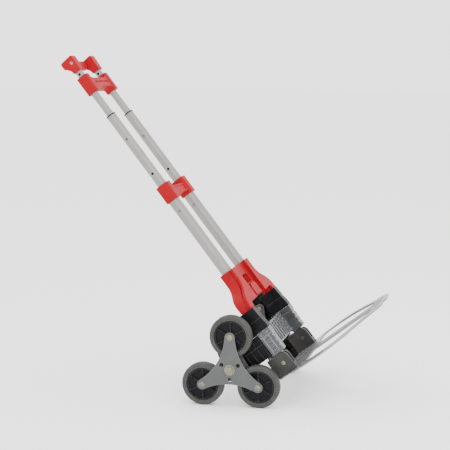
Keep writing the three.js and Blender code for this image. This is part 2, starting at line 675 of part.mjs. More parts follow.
for (const [word, side] of SIDES) {
  truck.add(
    mesh(`outer_tube_${word}`, tube(side, OUTER_D, [OUTER_LOW, OUTER_TOP], [middleLock]), TUBE),
    mesh(`corner_block_${word}`, cornerBlock(side), BLACK),
    mesh(`column_${word}`, column(side), COLUMN_GREY),
    mesh(`axle_bracket_${word}`, axleBracket(side), BLACK),
    mesh(`axle_nut_${word}`, axleNut(side), ZINC),
    mesh(`middle_tube_${word}`, tube(side, MIDDLE_D, [MIDDLE_LOW, MIDDLE_TOP],
      [middleLock, ...MIDDLE_HOLES.map((down) => MIDDLE_TOP - down)]), TUBE),
    mesh(`tube_collar_${word}`, tubeCollar(side), BLACK),
    mesh(`middle_lock_pin_${word}`, lockPin(side, MIDDLE_D, middleLock), ZINC),
    mesh(`inner_tube_${word}`, tube(side, INNER_D, [INNER_LOW, INNER_TOP],
      [innerLock, INNER_TOP - INNER_HOLE], LOCK_PIN_R + GAP), TUBE),
    mesh(`inner_lock_pin_${word}`, lockPin(side, INNER_D, innerLock), ZINC),
    mesh(`handle_cap_${word}`, handleCap(side), RED),
    mesh(`cap_screw_${word}`, capScrew(side), ZINC),
    mesh(`foot_${word}`, foot(side), FOOT_GREY),
    mesh(`hinge_pin_${word}`, hingePin(side), ZINC));
}
truck.add(
  mesh('yoke', yoke(), RED),
  mesh('plate_latch', plateLatch(), RED),
  mesh('cross_panel', crossPanel(), COLUMN_GREY),
  mesh('axle', axle(), ZINC),
  mesh('mid_brace', midBrace(), RED),
  mesh('release_bar', releaseBar(), RED),
  mesh('handle_grip', handleGrip(), RED),
  mesh('toe_plate', toePlate(), PLATE_METAL));
truck.rotation.y = -THREE.MathUtils.degToRad(LEAN);

// the stars stand on two wheels each, whatever the lean of the frame
const stars = new THREE.Group();
const rimGeometry = geometryOf(wheelRim());
const tyreGeometry = tyre();
for (const [word, side] of SIDES) {
  const inside = STAR_Y - STAR_INSIDE / 2;
  const outside = STAR_Y + STAR_INSIDE / 2;
  stars.add(
    mesh(`star_outer_plate_${word}`, starPlate(side, [outside, outside + STAR_PLATE_T]), STAR_GREY),
    mesh(`star_inner_plate_${word}`, starPlate(side, [inside - STAR_PLATE_T, inside]), STAR_GREY),
    mesh(`star_hub_${word}`, starHub(side), ZINC));
  for (let i = 0; i < 3; i += 1) {
    const [x, z] = armPoint(i, STAR_R);
    const pieces = [
      mesh(`wheel_bolt_${word}_${i + 1}`, wheelBolt(side), ZINC),
      mesh(`wheel_rim_${word}_${i + 1}`, rimGeometry, BLACK),
      mesh(`tyre_${word}_${i + 1}`, tyreGeometry, TYRE_GREY)];
    for (const piece of pieces) piece.position.set(x, side * STAR_Y, z);
    stars.add(...pieces);
  }
}

// on the floor, with the origin under the middle of the whole truck
const trolley = new THREE.Group();
trolley.add(truck, stars);
trolley.updateMatrixWorld(true);
const extent = new THREE.Box3().setFromObject(trolley, true);
trolley.position.set(-(extent.min.x + extent.max.x) / 2, 0, -extent.min.z);

export default trolley;
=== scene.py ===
# %% [markdown]
# # A folding stair-climbing hand truck
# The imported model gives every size, place and joint. This notebook gives the truck its looks: it rebuilds
# the coarse solids as smooth, moulded, pressed and turned pieces in the very same places, paints them, and
# lights them. Nothing here moves a part or changes a size. All lengths are in metres.

# %% The frame
import json
import math

import bmesh
import bpy
from mathutils import Matrix, Vector
from mathutils.geometry import interpolate_bezier


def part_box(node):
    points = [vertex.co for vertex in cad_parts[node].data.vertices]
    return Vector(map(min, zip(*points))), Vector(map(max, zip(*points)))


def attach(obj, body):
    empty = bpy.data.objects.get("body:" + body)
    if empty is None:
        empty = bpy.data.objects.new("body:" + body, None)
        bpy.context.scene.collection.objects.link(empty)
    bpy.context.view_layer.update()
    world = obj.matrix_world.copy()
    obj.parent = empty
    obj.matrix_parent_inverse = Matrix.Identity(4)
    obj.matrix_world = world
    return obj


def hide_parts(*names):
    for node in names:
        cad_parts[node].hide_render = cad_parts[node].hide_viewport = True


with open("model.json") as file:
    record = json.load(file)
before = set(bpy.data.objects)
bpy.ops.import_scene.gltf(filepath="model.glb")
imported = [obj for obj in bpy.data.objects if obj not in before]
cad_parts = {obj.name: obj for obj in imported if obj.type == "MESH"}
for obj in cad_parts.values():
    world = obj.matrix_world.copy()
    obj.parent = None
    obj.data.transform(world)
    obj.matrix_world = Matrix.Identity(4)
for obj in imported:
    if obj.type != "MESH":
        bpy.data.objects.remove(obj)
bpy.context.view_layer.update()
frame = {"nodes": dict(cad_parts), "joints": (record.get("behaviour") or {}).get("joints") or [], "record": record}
joints = {joint["name"]: joint for joint in frame["joints"]}
nodes = frame["nodes"]
MM = 0.001
GAP = 0.3 * MM
SIDES = {"left": -1, "right": 1}

# %% [markdown]
# The frame of the truck leans back over its axle. Drawing on a slant is hard, so every leaning piece is
# drawn upright, with x forward from the axle, y across and z up the tubes. One matrix then leans it.

# %% The leaning frame
AXLE = Vector(joints["star_left_spin"]["pos_m"])
AXLE.y = 0
UP = Vector(joints["middle_stage_slide"]["axis"])
LEAN_ANGLE = math.atan2(-UP.x, UP.z)
LEAN = Matrix.Translation(AXLE) @ Matrix.Rotation(-LEAN_ANGLE, 4, "Y")
LEVEL = Matrix.Identity(4)


def span(node, place=LEAN):
    """Lowest and highest corner of a node, in the upright drawing frame."""
    back = place.inverted()
    points = [back @ v.co for v in nodes[node].data.vertices]
    low = Vector(min(p[i] for p in points) for i in range(3))
    high = Vector(max(p[i] for p in points) for i in range(3))
    return low, high


def reach_of(node):
    """How far from the middle of the truck a piece starts and ends."""
    low, high = span(node)
    return sorted((abs(low.y), abs(high.y)))


print("lean", round(math.degrees(LEAN_ANGLE), 2), "axle", AXLE[:])

# %% [markdown]
# Real surfaces are never one flat colour. One shader group gives the masks that every finish here shares:
# a soft mottle, a fine grain, an edge mask that paints highlight and shade along the edges (with some wear),
# and a little dust. It is built once and each material sets how much of each it shows.


# %% Shared surface masks
def feed(tree, node, feeds):
    """Gives inputs, by name or number, a value or another node's output."""
    for key, value in feeds.items():
        if isinstance(value, bpy.types.NodeSocket):
            tree.links.new(value, node.inputs[key])
        else:
            node.inputs[key].default_value = value


def add(tree, kind, feeds, **settings):
    node = tree.nodes.new(kind)
    for key, value in settings.items():
        setattr(node, key, value)
    feed(tree, node, feeds)
    return node


def noise(tree, vector, scale, detail, roughness=0.5):
    feeds = {"Vector": vector, "Scale": scale, "Detail": detail, "Roughness": roughness}
    return add(tree, "ShaderNodeTexNoise", feeds).outputs["Fac"]


def ramp(tree, value, low, high):
    feeds = {"Value": value, "From Min": low, "From Max": high}
    return add(tree, "ShaderNodeMapRange", feeds).outputs["Result"]


def times(tree, value, factor):
    return add(tree, "ShaderNodeMath", {0: value, 1: factor}, operation="MULTIPLY").outputs["Value"]


MOTTLE_SCALE, PATCH_SCALE, DUST_SCALE = 14, 60, 35
EDGE_WEAR_AND_LIGHT_WIDTH = 0.9 * MM


def surface_masks():
    tree = bpy.data.node_groups.new("surface_masks", "ShaderNodeTree")
    for name, way, kind in [("Vector", "INPUT", "Vector"), ("Grain Scale", "INPUT", "Float"),
                            ("Mottle", "OUTPUT", "Float"), ("Grain", "OUTPUT", "Float"),
                            ("Edge", "OUTPUT", "Float"), ("Dust", "OUTPUT", "Float")]:
        tree.interface.new_socket(name=name, in_out=way, socket_type="NodeSocket" + kind)
    into = add(tree, "NodeGroupInput", {}).outputs
    place = into["Vector"]
    eased = add(tree, "ShaderNodeBevel", {"Radius": EDGE_WEAR_AND_LIGHT_WIDTH}, samples=4).outputs["Normal"]
    straight = add(tree, "ShaderNodeNewGeometry", {}).outputs["Normal"]
    turned_by = add(tree, "ShaderNodeVectorMath", {0: eased, 1: straight}, operation="DOT_PRODUCT")
    edge = ramp(tree, turned_by.outputs["Value"], 0.985, 0.85)
    add(tree, "NodeGroupOutput", {
        "Mottle": ramp(tree, noise(tree, place, MOTTLE_SCALE, 4), 0.35, 0.7),
        "Grain": noise(tree, place, into["Grain Scale"], 2),
        "Edge": times(tree, edge, noise(tree, place, PATCH_SCALE, 3)),
        "Dust": ramp(tree, noise(tree, place, DUST_SCALE, 5, 0.65), 0.45, 0.75)})
    return tree


MASKS = surface_masks()
FIRST_COLOUR, SECOND_COLOUR, MIXED = 6, 7, 2


def mix_colour(tree, factor, first, second):
    """The mix node keeps its colour sockets after those for numbers and vectors."""
    first, second = [(*c, 1) if isinstance(c, tuple) else c for c in (first, second)]
    feeds = {"Factor": factor, FIRST_COLOUR: first, SECOND_COLOUR: second}
    return add(tree, "ShaderNodeMix", feeds, data_type="RGBA").outputs[MIXED]


DUST = (0.3, 0.29, 0.27)
GRAIN_HEIGHT = 0.2 * MM


def finish(name, colour, rough, metal=0.0, gloss=0.5, dark=0.8, mottle=0.5, edge=None, edge_wear_and_light=0.0,
           grain=900, bump=0.1, stretch=(1, 1, 1), dust=0.06):
    """One material: colour with mottle, a second colour on the edges (painted highlight and shade, with some wear)
    and dust, roughness and bump from the same masks.
    """
    made = bpy.data.materials.new(name)
    made.use_nodes = True
    tree = made.node_tree
    where = add(tree, "ShaderNodeTexCoord", {}).outputs["Object"]
    turn = add(tree, "ShaderNodeMapping", {"Vector": where, "Rotation": (0, LEAN_ANGLE, 0),
                                           "Scale": stretch})
    masks = add(tree, "ShaderNodeGroup", {"Vector": turn.outputs["Vector"], "Grain Scale": grain},
                node_tree=MASKS).outputs
    deeper = tuple(channel * dark for channel in colour)
    base = mix_colour(tree, times(tree, masks["Mottle"], mottle), colour, deeper)
    base = mix_colour(tree, times(tree, masks["Dust"], dust), base, DUST)
    # The edge mask paints the edge colour on. This is a painted highlight on most finishes, painted shade on the
    # toe plate, and partly wear.
    if edge:
        base = mix_colour(tree, times(tree, masks["Edge"], edge_wear_and_light), base, edge)
    spread = add(tree, "ShaderNodeMapRange", {"Value": masks["Dust"], "To Min": rough - 0.04,
                                              "To Max": rough + 0.12})
    height = add(tree, "ShaderNodeBump", {"Height": masks["Grain"], "Strength": bump,
                                          "Distance": GRAIN_HEIGHT})
    feed(tree, tree.nodes["Principled BSDF"], {
        "Base Color": base, "Roughness": spread.outputs["Result"], "Normal": height.outputs["Normal"],
        "Metallic": metal, "Specular IOR Level": gloss})
    return made


# %% [markdown]
# The finishes of this truck. Moulded red plastic has a light sheen and paler edges, partly rubbed wear and partly
# a painted highlight; black nylon is duller; the tubes are drawn aluminium, so their grain is stretched along the
# tube;
# the toe plate's grain runs across it and its rims are darkened with painted shade; the stars are powder coated,
# with a fine orange peel; the tyres are grey rubber with dust in them. Black nylon, the columns, the feet, the
# stars and the zinc get a painted highlight along their edges.

# %% Materials
ALONG_TUBE, ACROSS_PLATE = (1, 1, 0.03), (0.06, 1, 1)
FINISHES = {
    # Red: the paler edge colour is partly rubbed wear and partly a painted highlight.
    "red_plastic": dict(colour=(0.3, 0.004, 0.009), rough=0.5, gloss=0.06, dark=0.72,
                        edge=(0.75, 0.1, 0.11), edge_wear_and_light=0.7, grain=1400, bump=0.12, dust=0.012),
    # Black: the pale edge colour is a painted highlight on the edges.
    "black_plastic": dict(colour=(0.005, 0.005, 0.006), rough=0.4, gloss=0.1, dark=0.6,
                          edge=(0.34, 0.34, 0.35), edge_wear_and_light=0.7, grain=1600, bump=0.15, dust=0.012),
    "tube_aluminium": dict(colour=(0.24, 0.236, 0.222), rough=0.4, metal=0.4, gloss=0.3, dark=0.84,
                           mottle=0.6, grain=2200, bump=0.08, stretch=ALONG_TUBE, dust=0.08),
    # Column: the near-white edge colour is a painted highlight on the edges and bumps.
    "column_grey": dict(colour=(0.062, 0.065, 0.069), rough=0.28, gloss=0.3, dark=0.5, mottle=0.7,
                        edge=(0.75, 0.76, 0.78), edge_wear_and_light=1.5, grain=1200),
    # Foot: the pale edge colour is a painted highlight on the edges.
    "foot_grey": dict(colour=(0.03, 0.03, 0.028), rough=0.4, gloss=0.2, dark=0.6, mottle=0.8,
                      edge=(0.5, 0.5, 0.5), edge_wear_and_light=0.85, grain=1500, bump=0.18),
    # Toe plate: the near-black edge colour is painted shade on the bead walls and rims.
    "plate_aluminium": dict(colour=(0.21, 0.213, 0.216), rough=0.3, metal=0.5, gloss=0.3, mottle=0.3,
                            edge=(0.012, 0.012, 0.013), edge_wear_and_light=1.7, grain=1800, bump=0.12,
                            stretch=ACROSS_PLATE),
    # Stars: the pale edge colour is a painted highlight on the edges.
    "star_grey": dict(colour=(0.068, 0.072, 0.072), rough=0.42, metal=0.1, gloss=0.25, dark=0.85,
                      edge=(0.6, 0.61, 0.61), edge_wear_and_light=0.95, grain=1100, bump=0.22),
    "tyre_grey": dict(colour=(0.042, 0.042, 0.039), rough=0.62, gloss=0.2, dark=0.75,
                      edge=(0.11, 0.11, 0.105), edge_wear_and_light=0.4, grain=1700, bump=0.35, dust=0.08),
    # Zinc: the pale edge colour is a painted highlight, a glint on the edges.
    "zinc": dict(colour=(0.19, 0.17, 0.12), rough=0.26, metal=0.7, dark=0.45, edge=(0.9, 0.88, 0.8),
                 edge_wear_and_light=0.6, grain=1500),
}
SHOP = {name: finish(name, **look) for name, look in FINISHES.items()}
print("finishes", sorted(SHOP))

# %% [markdown]
# A few small tools make nearly every piece. `rounded` eases the corners of an outline, `slab` extrudes it,
# `rod` and `box` start from a plain cylinder and cube, `turned` spins a profile as a lathe does, and
# `carve` cuts closed shapes out of each other. `piece` puts the result in place of its CAD node.


# %% Shape tools
def shifted(bm, vec):
    bmesh.ops.translate(bm, vec=vec, verts=bm.verts)
    return bm


def spun(bm, angle, axis="Y"):
    bmesh.ops.rotate(bm, matrix=Matrix.Rotation(angle, 3, axis), verts=bm.verts)
    return bm


def along(bm, axis):
    """Stands a shape drawn in (u, v) with thickness w on the axis it is thick along."""
    ways = {"X": ((0, 0, 1), (1, 0, 0), (0, 1, 0)), "Y": ((1, 0, 0), (0, 0, 1), (0, 1, 0)),
            "Z": ((1, 0, 0), (0, 1, 0), (0, 0, 1))}
    bmesh.ops.transform(bm, matrix=Matrix(ways[axis]).to_4x4(), verts=bm.verts)
    bmesh.ops.recalc_face_normals(bm, faces=bm.faces)
    return bm


LONGEST_ROUND = 0.49
ROUND_PULL = 0.55


def rounded(outline, steps=6):
    """Rounds corners given as (u, v, radius); a curve starts that far along the corner's two edges."""
    points = []
    for i, corner in enumerate(outline):
        here = Vector((*corner[:2], 0))
        if len(corner) < 3:
            points.append(here)
            continue
        ways = [Vector((*outline[j][:2], 0)) - here for j in (i - 1, (i + 1) % len(outline))]
        radius = min(corner[2], *[way.length * LONGEST_ROUND for way in ways])
        start, end = [here + way.normalized() * radius for way in ways]
        pulled = [spot.lerp(here, ROUND_PULL) for spot in (start, end)]
        points += interpolate_bezier(start, *pulled, end, steps + 1)
    return [tuple(point[:2]) for point in points]


def rounded_box(low, high, radius, steps=6):
    (u, v), (far, top) = low, high
    return rounded([(u, v, radius), (far, v, radius), (far, top, radius), (u, top, radius)], steps)


def inset(points, depth):
    """The same closed line, moved inward by a depth."""
    flat = [Vector(point) for point in points]
    inward = math.copysign(1, sum(a.cross(b) for a, b in zip(flat, flat[1:] + flat[:1])))
    moved = []
    for before, here, after in zip(flat[-1:] + flat[:-1], flat, flat[1:] + flat[:1]):
        first = (here - before).normalized().orthogonal() * inward
        second = (after - here).normalized().orthogonal() * inward
        normal = (first + second).normalized()
        moved.append(tuple(here + normal * depth / max(0.5, normal.dot(first))))
    return moved


def soften(bm, edges, width, steps):
    if width:
        bmesh.ops.bevel(bm, geom=edges, offset=width, offset_type="OFFSET", segments=steps, profile=0.5,
                        affect="EDGES", clamp_overlap=True, material=-1)


def slab(points, thickness, axis="Y", edge=0.0, steps=3):
    """A closed line of (u, v) points, given its thickness (low, high) along an axis, with soft rims."""
    bm = bmesh.new()
    bm.faces.new([bm.verts.new((u, v, thickness[0])) for u, v in points])
    grown = bmesh.ops.extrude_face_region(bm, geom=bm.faces[:])
    top = [part for part in grown["geom"] if isinstance(part, bmesh.types.BMVert)]
    bmesh.ops.translate(bm, vec=(0, 0, thickness[1] - thickness[0]), verts=top)
    rims = [e for e in bm.edges if abs(e.verts[0].co.z - e.verts[1].co.z) < 1e-7]
    soften(bm, rims, edge, steps)
    return along(bm, axis)


def box(low, high, edge=0.0, steps=2):
    bm = bmesh.new()
    size = [h - l for l, h in zip(low, high)]
    middle = [(h + l) / 2 for l, h in zip(low, high)]
    bmesh.ops.create_cube(bm, size=1, matrix=Matrix.Translation(middle) @ Matrix.Diagonal((*size, 1)))
    soften(bm, bm.edges[:], edge, steps)
    return bm


def rod(radius, low, high, axis="Y", at=(0, 0), segments=48):
    """A cylinder along an axis, from low to high; at gives its other two coordinates."""
    bm = bmesh.new()
    shift = Matrix.Translation((at[0], at[1], (low + high) / 2))
    bmesh.ops.create_cone(bm, cap_ends=True, segments=segments, radius1=radius, radius2=radius,
                          depth=high - low, matrix=shift)
    return along(bm, axis)


def turned(profile, axis="Y", at=(0, 0), steps=64):
    """Spins (radius, height) points about an axis; a profile that starts off the axis is closed."""
    bm = bmesh.new()
    verts = [bm.verts.new((radius, 0, height)) for radius, height in profile]
    pairs = list(zip(verts, verts[1:]))
    if profile[0][0]:
        pairs.append((verts[-1], verts[0]))
    edges = [bm.edges.new(pair) for pair in pairs]
    bmesh.ops.spin(bm, geom=verts + edges, axis=(0, 0, 1), cent=(0, 0, 0), angle=2 * math.pi,
                   steps=steps, use_merge=True, use_duplicate=False)
    bmesh.ops.remove_doubles(bm, verts=bm.verts, dist=1e-6)
    return along(shifted(bm, (*at, 0)), axis)


def as_object(bm, name="shape"):
    mesh = bpy.data.meshes.new(name)
    bm.to_mesh(mesh)
    bm.free()
    made = bpy.data.objects.new(name, mesh)
    bpy.context.scene.collection.objects.link(made)
    return made


def carve(base, *tools, how="DIFFERENCE"):
    """Cuts the tools out of the base, or joins them to it, and gives the result as a new bmesh."""
    block = as_object(base)
    cutters = [as_object(tool) for tool in tools]
    for cutter in cutters:
        step = block.modifiers.new("carve", "BOOLEAN")
        step.object = cutter
        step.operation = how
        step.solver = "EXACT"
    result = bmesh.new()
    result.from_object(block, bpy.context.evaluated_depsgraph_get())
    for spare in [block, *cutters]:
        bpy.data.meshes.remove(spare.data)
    return result


def fuse(base, *others):
    return carve(base, *others, how="UNION")


SHARP = math.radians(38)


def piece(node, kind, bm, slot, body, place=LEAN, bevel=0.0, steps=2):
    """Leans a finished shape into place and lets it stand for its CAD node."""
    bmesh.ops.recalc_face_normals(bm, faces=bm.faces)
    made = as_object(bm, f"{node}_{kind}")
    made.data.transform(place)
    made.data.shade_smooth()
    made.data.set_sharp_from_angle(angle=SHARP)
    made.data.materials.append(SHOP[slot])
    if bevel:
        soft = made.modifiers.new("soft edges", "BEVEL")
        soft.width = bevel
        soft.segments = steps
        soft.limit_method = "ANGLE"
        soft.angle_limit = SHARP
    flat = made.modifiers.new("flat faces stay flat", "WEIGHTED_NORMAL")
    flat.keep_sharp = True
    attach(made, body)
    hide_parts(node)


# %% [markdown]
# CAD nodes that keep their own mesh, such as the pins inside the tubes, only need a finish. Each takes the
# one that the record names for it.

# %% Finishes for the carried-over nodes
SLOT_OF = {part["node"]: part["material_slot"] for part in frame["record"]["subparts"]}
for name, node in nodes.items():
    node.data.materials.clear()
    node.data.materials.append(SHOP[SLOT_OF[name]])
print("painted", len(nodes), "nodes")

# %% [markdown]
# ## Wheels
# Each wheel is a grey rubber tyre pressed on a black nylon rim. A tyre is a turned shape, so it is spun
# from one profile: a flat tread, round shoulders, and a bead groove where the side wall meets the rim.


# %% Tyres
def middle_of(node):
    low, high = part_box(node)
    return (low + high) / 2, (high - low) / 2


def arc(centre, radius, start, end, steps):
    """Points on a circle, from one angle to another in degrees."""
    angles = [math.radians(start + (end - start) * i / steps) for i in range(steps + 1)]
    return [(centre[0] + radius * math.cos(a), centre[1] + radius * math.sin(a)) for a in angles]


def mirrored(upper):
    """A (radius, height) profile and its mirror image below, as one line."""
    return upper + [(radius, -height) for radius, height in reversed(upper)]


def tyre_profile(r, half, seat):
    """(radius, height) round the section: side wall with its bead groove, shoulder, tread."""
    shoulder = 6.5 * MM
    lip = 4 * MM
    groove = 0.9 * MM
    upper = [(seat, half - 1.2 * MM), (seat + groove, half), (seat + lip, half),
             (seat + lip + groove, half - groove), (seat + lip + 2 * groove, half - groove),
             (seat + lip + 3 * groove, half)]
    return mirrored(upper + arc((r - shoulder, half - shoulder), shoulder, 90, 6, 8))


WHEELS = [(side, index) for side in SIDES for index in (1, 2, 3)]
RIM_R = middle_of("wheel_rim_left_1")[1].x
for side, index in WHEELS:
    node = f"tyre_{side}_{index}"
    centre, half = middle_of(node)
    shape = shifted(turned(tyre_profile(half.x, half.y, RIM_R + GAP), steps=96), centre)
    piece(node, "rubber", shape, "tyre_grey", f"wheel_{side}_{index}", place=LEVEL)
print("tyre", round(half.x * 2, 4), "across,", round(half.y * 2, 4), "wide")

# %% [markdown]
# The rim is moulded as a recessed disc with a boss for the bolt, a thick outer ring and six thin ribs on
# each face. The disc is spun, and the ribs are small bevelled boxes joined to it.

# %% Rims
BOLT_R = 4 * MM
BOLT_BORE = BOLT_R + GAP
BOSS_R = 12 * MM
RIM_WEB = 5 * MM
RIB_HALF = 1.1 * MM
RIM_RIBS = 6
RIM_RING = 4.5 * MM


def rim_profile(r, half, boss):
    """(radius, height) from the bolt's bore over the boss, down to the web and up over the outer ring."""
    small, large, fillet = 0.6 * MM, 0.8 * MM, 1.5 * MM
    ring = r - RIM_RING
    return mirrored([(BOLT_BORE, boss - small), (BOLT_BORE + small, boss), (BOSS_R - large, boss),
                     (BOSS_R, boss - large), (BOSS_R + 1.2 * MM, RIM_WEB + fillet),
                     (BOSS_R + 2 * fillet, RIM_WEB), (ring - 2 * fillet, RIM_WEB),
                     (ring - 1 * MM, RIM_WEB + fillet), (ring, half - small), (ring + small, half),
                     (r - large, half), (r, half - large)])


def rim_rib(r, half):
    height = half - 2.5 * MM
    return box((BOSS_R - 1 * MM, -height, -RIB_HALF), (r - 3.5 * MM, height, RIB_HALF), edge=0.6 * MM)


def wheel_rim(side, index):
    node = f"wheel_rim_{side}_{index}"
    centre, half = middle_of(node)
    tyre_half = middle_of(f"tyre_{side}_{index}")[1].y
    shape = turned(rim_profile(half.x, tyre_half - 2 * MM, half.y), steps=96)
    for i in range(RIM_RIBS):
        shape = fuse(shape, spun(rim_rib(half.x, tyre_half), 2 * math.pi * (i + 0.5) / RIM_RIBS))
    piece(node, "moulding", shifted(shape, centre), "black_plastic", f"wheel_{side}_{index}",
          place=LEVEL)


for side, index in WHEELS:
    wheel_rim(side, index)
print("rims", len(WHEELS), "radius", round(RIM_R, 4))

# %% [markdown]
# ## Stars
# Two pressed steel plates hold three wheels between them. A plate's outline is three round ends joined by
# hollow curves, so it is drawn as arcs and Bezier curves and extruded to its thickness, and the holes are
# carved from it. Powder coat rounds the edges, so they get a small bevel.

# %% Star plates
ARM_R = 14.5 * MM
STAR_PULL = 24.5 * MM
HOLE_R = 6.4 * MM
HOLE_AT = 28 * MM
AXLE_R = 8 * MM
AXLE_BORE = AXLE_R + GAP
ONE_WHEEL = middle_of("tyre_left_1")[0] - AXLE
STAR_R = math.hypot(ONE_WHEEL.x, ONE_WHEEL.z)


def arm_angle(i):
    return math.pi / 2 + i * 2 * math.pi / 3


def polar(angle, radius):
    return Vector((radius * math.cos(angle), radius * math.sin(angle), 0))


def star_outline():
    points = []
    for i in range(3):
        angle, following = arm_angle(i), arm_angle(i + 1)
        tip = polar(angle, STAR_R)
        turn = math.degrees(angle)
        points += arc(tip, ARM_R, turn - 90, turn + 90, 20)
        start = Vector((*points[-1], 0))
        end = polar(following, STAR_R) + polar(following - math.pi / 2, ARM_R)
        waist = polar((angle + following) / 2, STAR_PULL)
        near, far = start.lerp(waist, 2 / 3), end.lerp(waist, 2 / 3)
        points += [tuple(p[:2]) for p in interpolate_bezier(start, near, far, end, 18)[1:-1]]
    return points


def star_plate(face, side):
    node = f"star_{face}_plate_{side}"
    low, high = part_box(node)
    beyond = (low.y - MM, high.y + MM)
    tools = [rod(AXLE_BORE, *beyond)]
    for i in range(3):
        tools.append(rod(HOLE_R, *beyond, at=polar(arm_angle(i + 0.5), HOLE_AT)[:2]))
        tools.append(rod(BOLT_BORE, *beyond, at=polar(arm_angle(i), STAR_R)[:2]))
    shape = carve(slab(star_outline(), (low.y, high.y), "Y"), *tools)
    piece(node, "pressing", shifted(shape, AXLE), "star_grey", f"star_{side}", place=LEVEL,
          bevel=0.5 * MM, steps=3)


for side in SIDES:
    for face in ("outer", "inner"):
        star_plate(face, side)
print("star radius", round(STAR_R, 4))

# %% [markdown]
# The fasteners are zinc-plated steel, and they catch the light, so they are worth real shapes: a button
# head with a hexagon socket, a nut behind, a washer and a lock nut on the axle's end. Heads are spun and
# their sockets carved with a six-sided rod.

# %% Bolts, hubs and the axle
SOCKET_R = 3.1 * MM
HEAD_R, HEAD_H, BOLT_NUT_R = 8.5 * MM, 4 * MM, 7.5 * MM
END_R = 6 * MM
WASHER_R, WASHER_T = 15.5 * MM, 1.6 * MM
AXLE_NUT_R, LOCK_RING_R = 11.5 * MM, 8.6 * MM


def hex_bar(radius, low, high):
    """A hexagonal bar along y, by the radius of its corners."""
    return rod(radius, low, high, segments=6)


def button_head(radius, height, shank, length):
    """Head up at y = height, shank down to y = -length, as a closed profile on the axis."""
    dome = arc((0, -radius * 1.1 + height), radius * 1.1, 90, 48, 6)
    low_edge = (radius, 0.9 * MM)
    return [(0, height)] + dome[1:] + [low_edge, (radius, 0), (shank, 0), (shank, -length + 0.6 * MM),
                                       (shank - 0.6 * MM, -length), (0, -length)]


def hex_nut(radius, height):
    """A nut with chamfered corners, from y = 0 to height."""
    cone = turned([(0, -MM), (radius * 1.2, -MM), (radius * 1.2, height * 0.7), (radius * 0.86, height),
                   (0, height)], steps=48)
    return carve(hex_bar(radius, 0, height), cone, how="INTERSECT")


def facing(shape, side, y):
    """Turns a shape made up +y to face out of its own side, standing y away from the middle."""
    sign = SIDES[side]
    return shifted(spun(shape, math.pi, "X") if sign < 0 else shape, (0, sign * y, 0))


def wheel_bolt(side, index):
    node = f"wheel_bolt_{side}_{index}"
    centre, half = middle_of(node)
    seat = half.y - HEAD_H
    shape = turned(button_head(HEAD_R, HEAD_H, BOLT_R, 2 * seat), steps=48)
    shape = carve(shape, hex_bar(SOCKET_R, 1.6 * MM, HEAD_H + MM))
    nut = shifted(spun(hex_nut(BOLT_NUT_R, HEAD_H), math.pi, "X"), (0, -2 * seat + 0.05 * MM, 0))
    shape = facing(fuse(shape, nut), side, seat)
    piece(node, "turned", shifted(shape, centre), "zinc", f"star_{side}", place=LEVEL)


def star_hub(side):
    node = f"star_hub_{side}"
    low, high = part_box(node)
    r = (high.x - low.x) / 2
    edge = 0.8 * MM
    profile = [(AXLE_BORE, low.y), (r - edge, low.y), (r, low.y + edge), (r, high.y - edge),
               (r - edge, high.y), (AXLE_BORE, high.y)]
    shape = turned(profile, at=(AXLE.x, AXLE.z))
    piece(node, "turned", shape, "zinc", f"star_{side}", place=LEVEL)


def axle_nut(side):
    """A washer, a nut and the smaller locking ring that stands out of the nut."""
    node = f"axle_nut_{side}"
    near, far = reach_of(node)
    thick = far - near
    edge, slack = 0.4 * MM, 0.1 * MM
    bevel = edge + slack
    nut = shifted(hex_nut(AXLE_NUT_R, thick - 2 * WASHER_T), (0, WASHER_T, 0))
    ring = turned([(END_R + slack, WASHER_T), (LOCK_RING_R, WASHER_T), (LOCK_RING_R, thick - bevel),
                   (LOCK_RING_R - bevel, thick), (END_R + slack, thick)], steps=48)
    washer = turned([(END_R + edge, 0), (WASHER_R - edge, 0), (WASHER_R, edge), (WASHER_R, WASHER_T - edge),
                     (WASHER_R - edge, WASHER_T), (END_R + edge, WASHER_T)], steps=64)
    shape = carve(fuse(nut, ring, washer), rod(END_R + GAP, -MM, thick + MM))
    piece(node, "turned", facing(shape, side, near), "zinc", "frame", bevel=0.15 * MM)


def axle_rod():
    tip = span("axle")[1].y
    step = reach_of("axle_nut_right")[0] - GAP
    edge = 1 * MM
    profile = mirrored([(0, tip), (END_R - edge, tip), (END_R, tip - edge), (END_R, step), (AXLE_R, step)])
    piece("axle", "turned", turned(profile, steps=48), "zinc", "frame")


for side, index in WHEELS:
    wheel_bolt(side, index)
for side in SIDES:
    star_hub(side)
    axle_nut(side)
axle_rod()
print("bolts", len(WHEELS))

# %% [markdown]
# ## Telescopic tubes
# On each side three drawn tubes slide in each other. Each is spun as a thin ring section with eased ends,
# and its lock holes are drilled right through with rods.

# %% Tubes and collars
WALL = 1.5 * MM
LOCK_R = 4 * MM
EASE = 0.35 * MM
MIDDLE_SPARE = 214 * MM
INNER_SPARE = 46 * MM
INNER_LOCK_R = 3.8 * MM


def centre_of(node):
    low, high = span(node)
    return (low + high) / 2


def radius_of(node):
    low, high = span(node)
    return (high.y - low.y) / 2


def top_of(node):
    return span(node)[1].z


def drawn_tube(node, body, heights, hole_r=LOCK_R):
    low, high = span(node)
    middle, r = centre_of(node), radius_of(node)
    hollow = r - WALL
    profile = [(hollow, low.z + EASE), (hollow + EASE, low.z), (r - EASE, low.z), (r, low.z + EASE),
               (r, high.z - EASE), (r - EASE, high.z), (hollow + EASE, high.z), (hollow, high.z - EASE)]
    shape = turned(profile, axis="Z", at=middle[:2], steps=96)
    drills = [rod(hole_r, middle.y - 2 * r, middle.y + 2 * r, at=(middle.x, height)) for height in heights]
    piece(node, "drawn", carve(shape, *drills), "tube_aluminium", body, bevel=0.25 * MM)


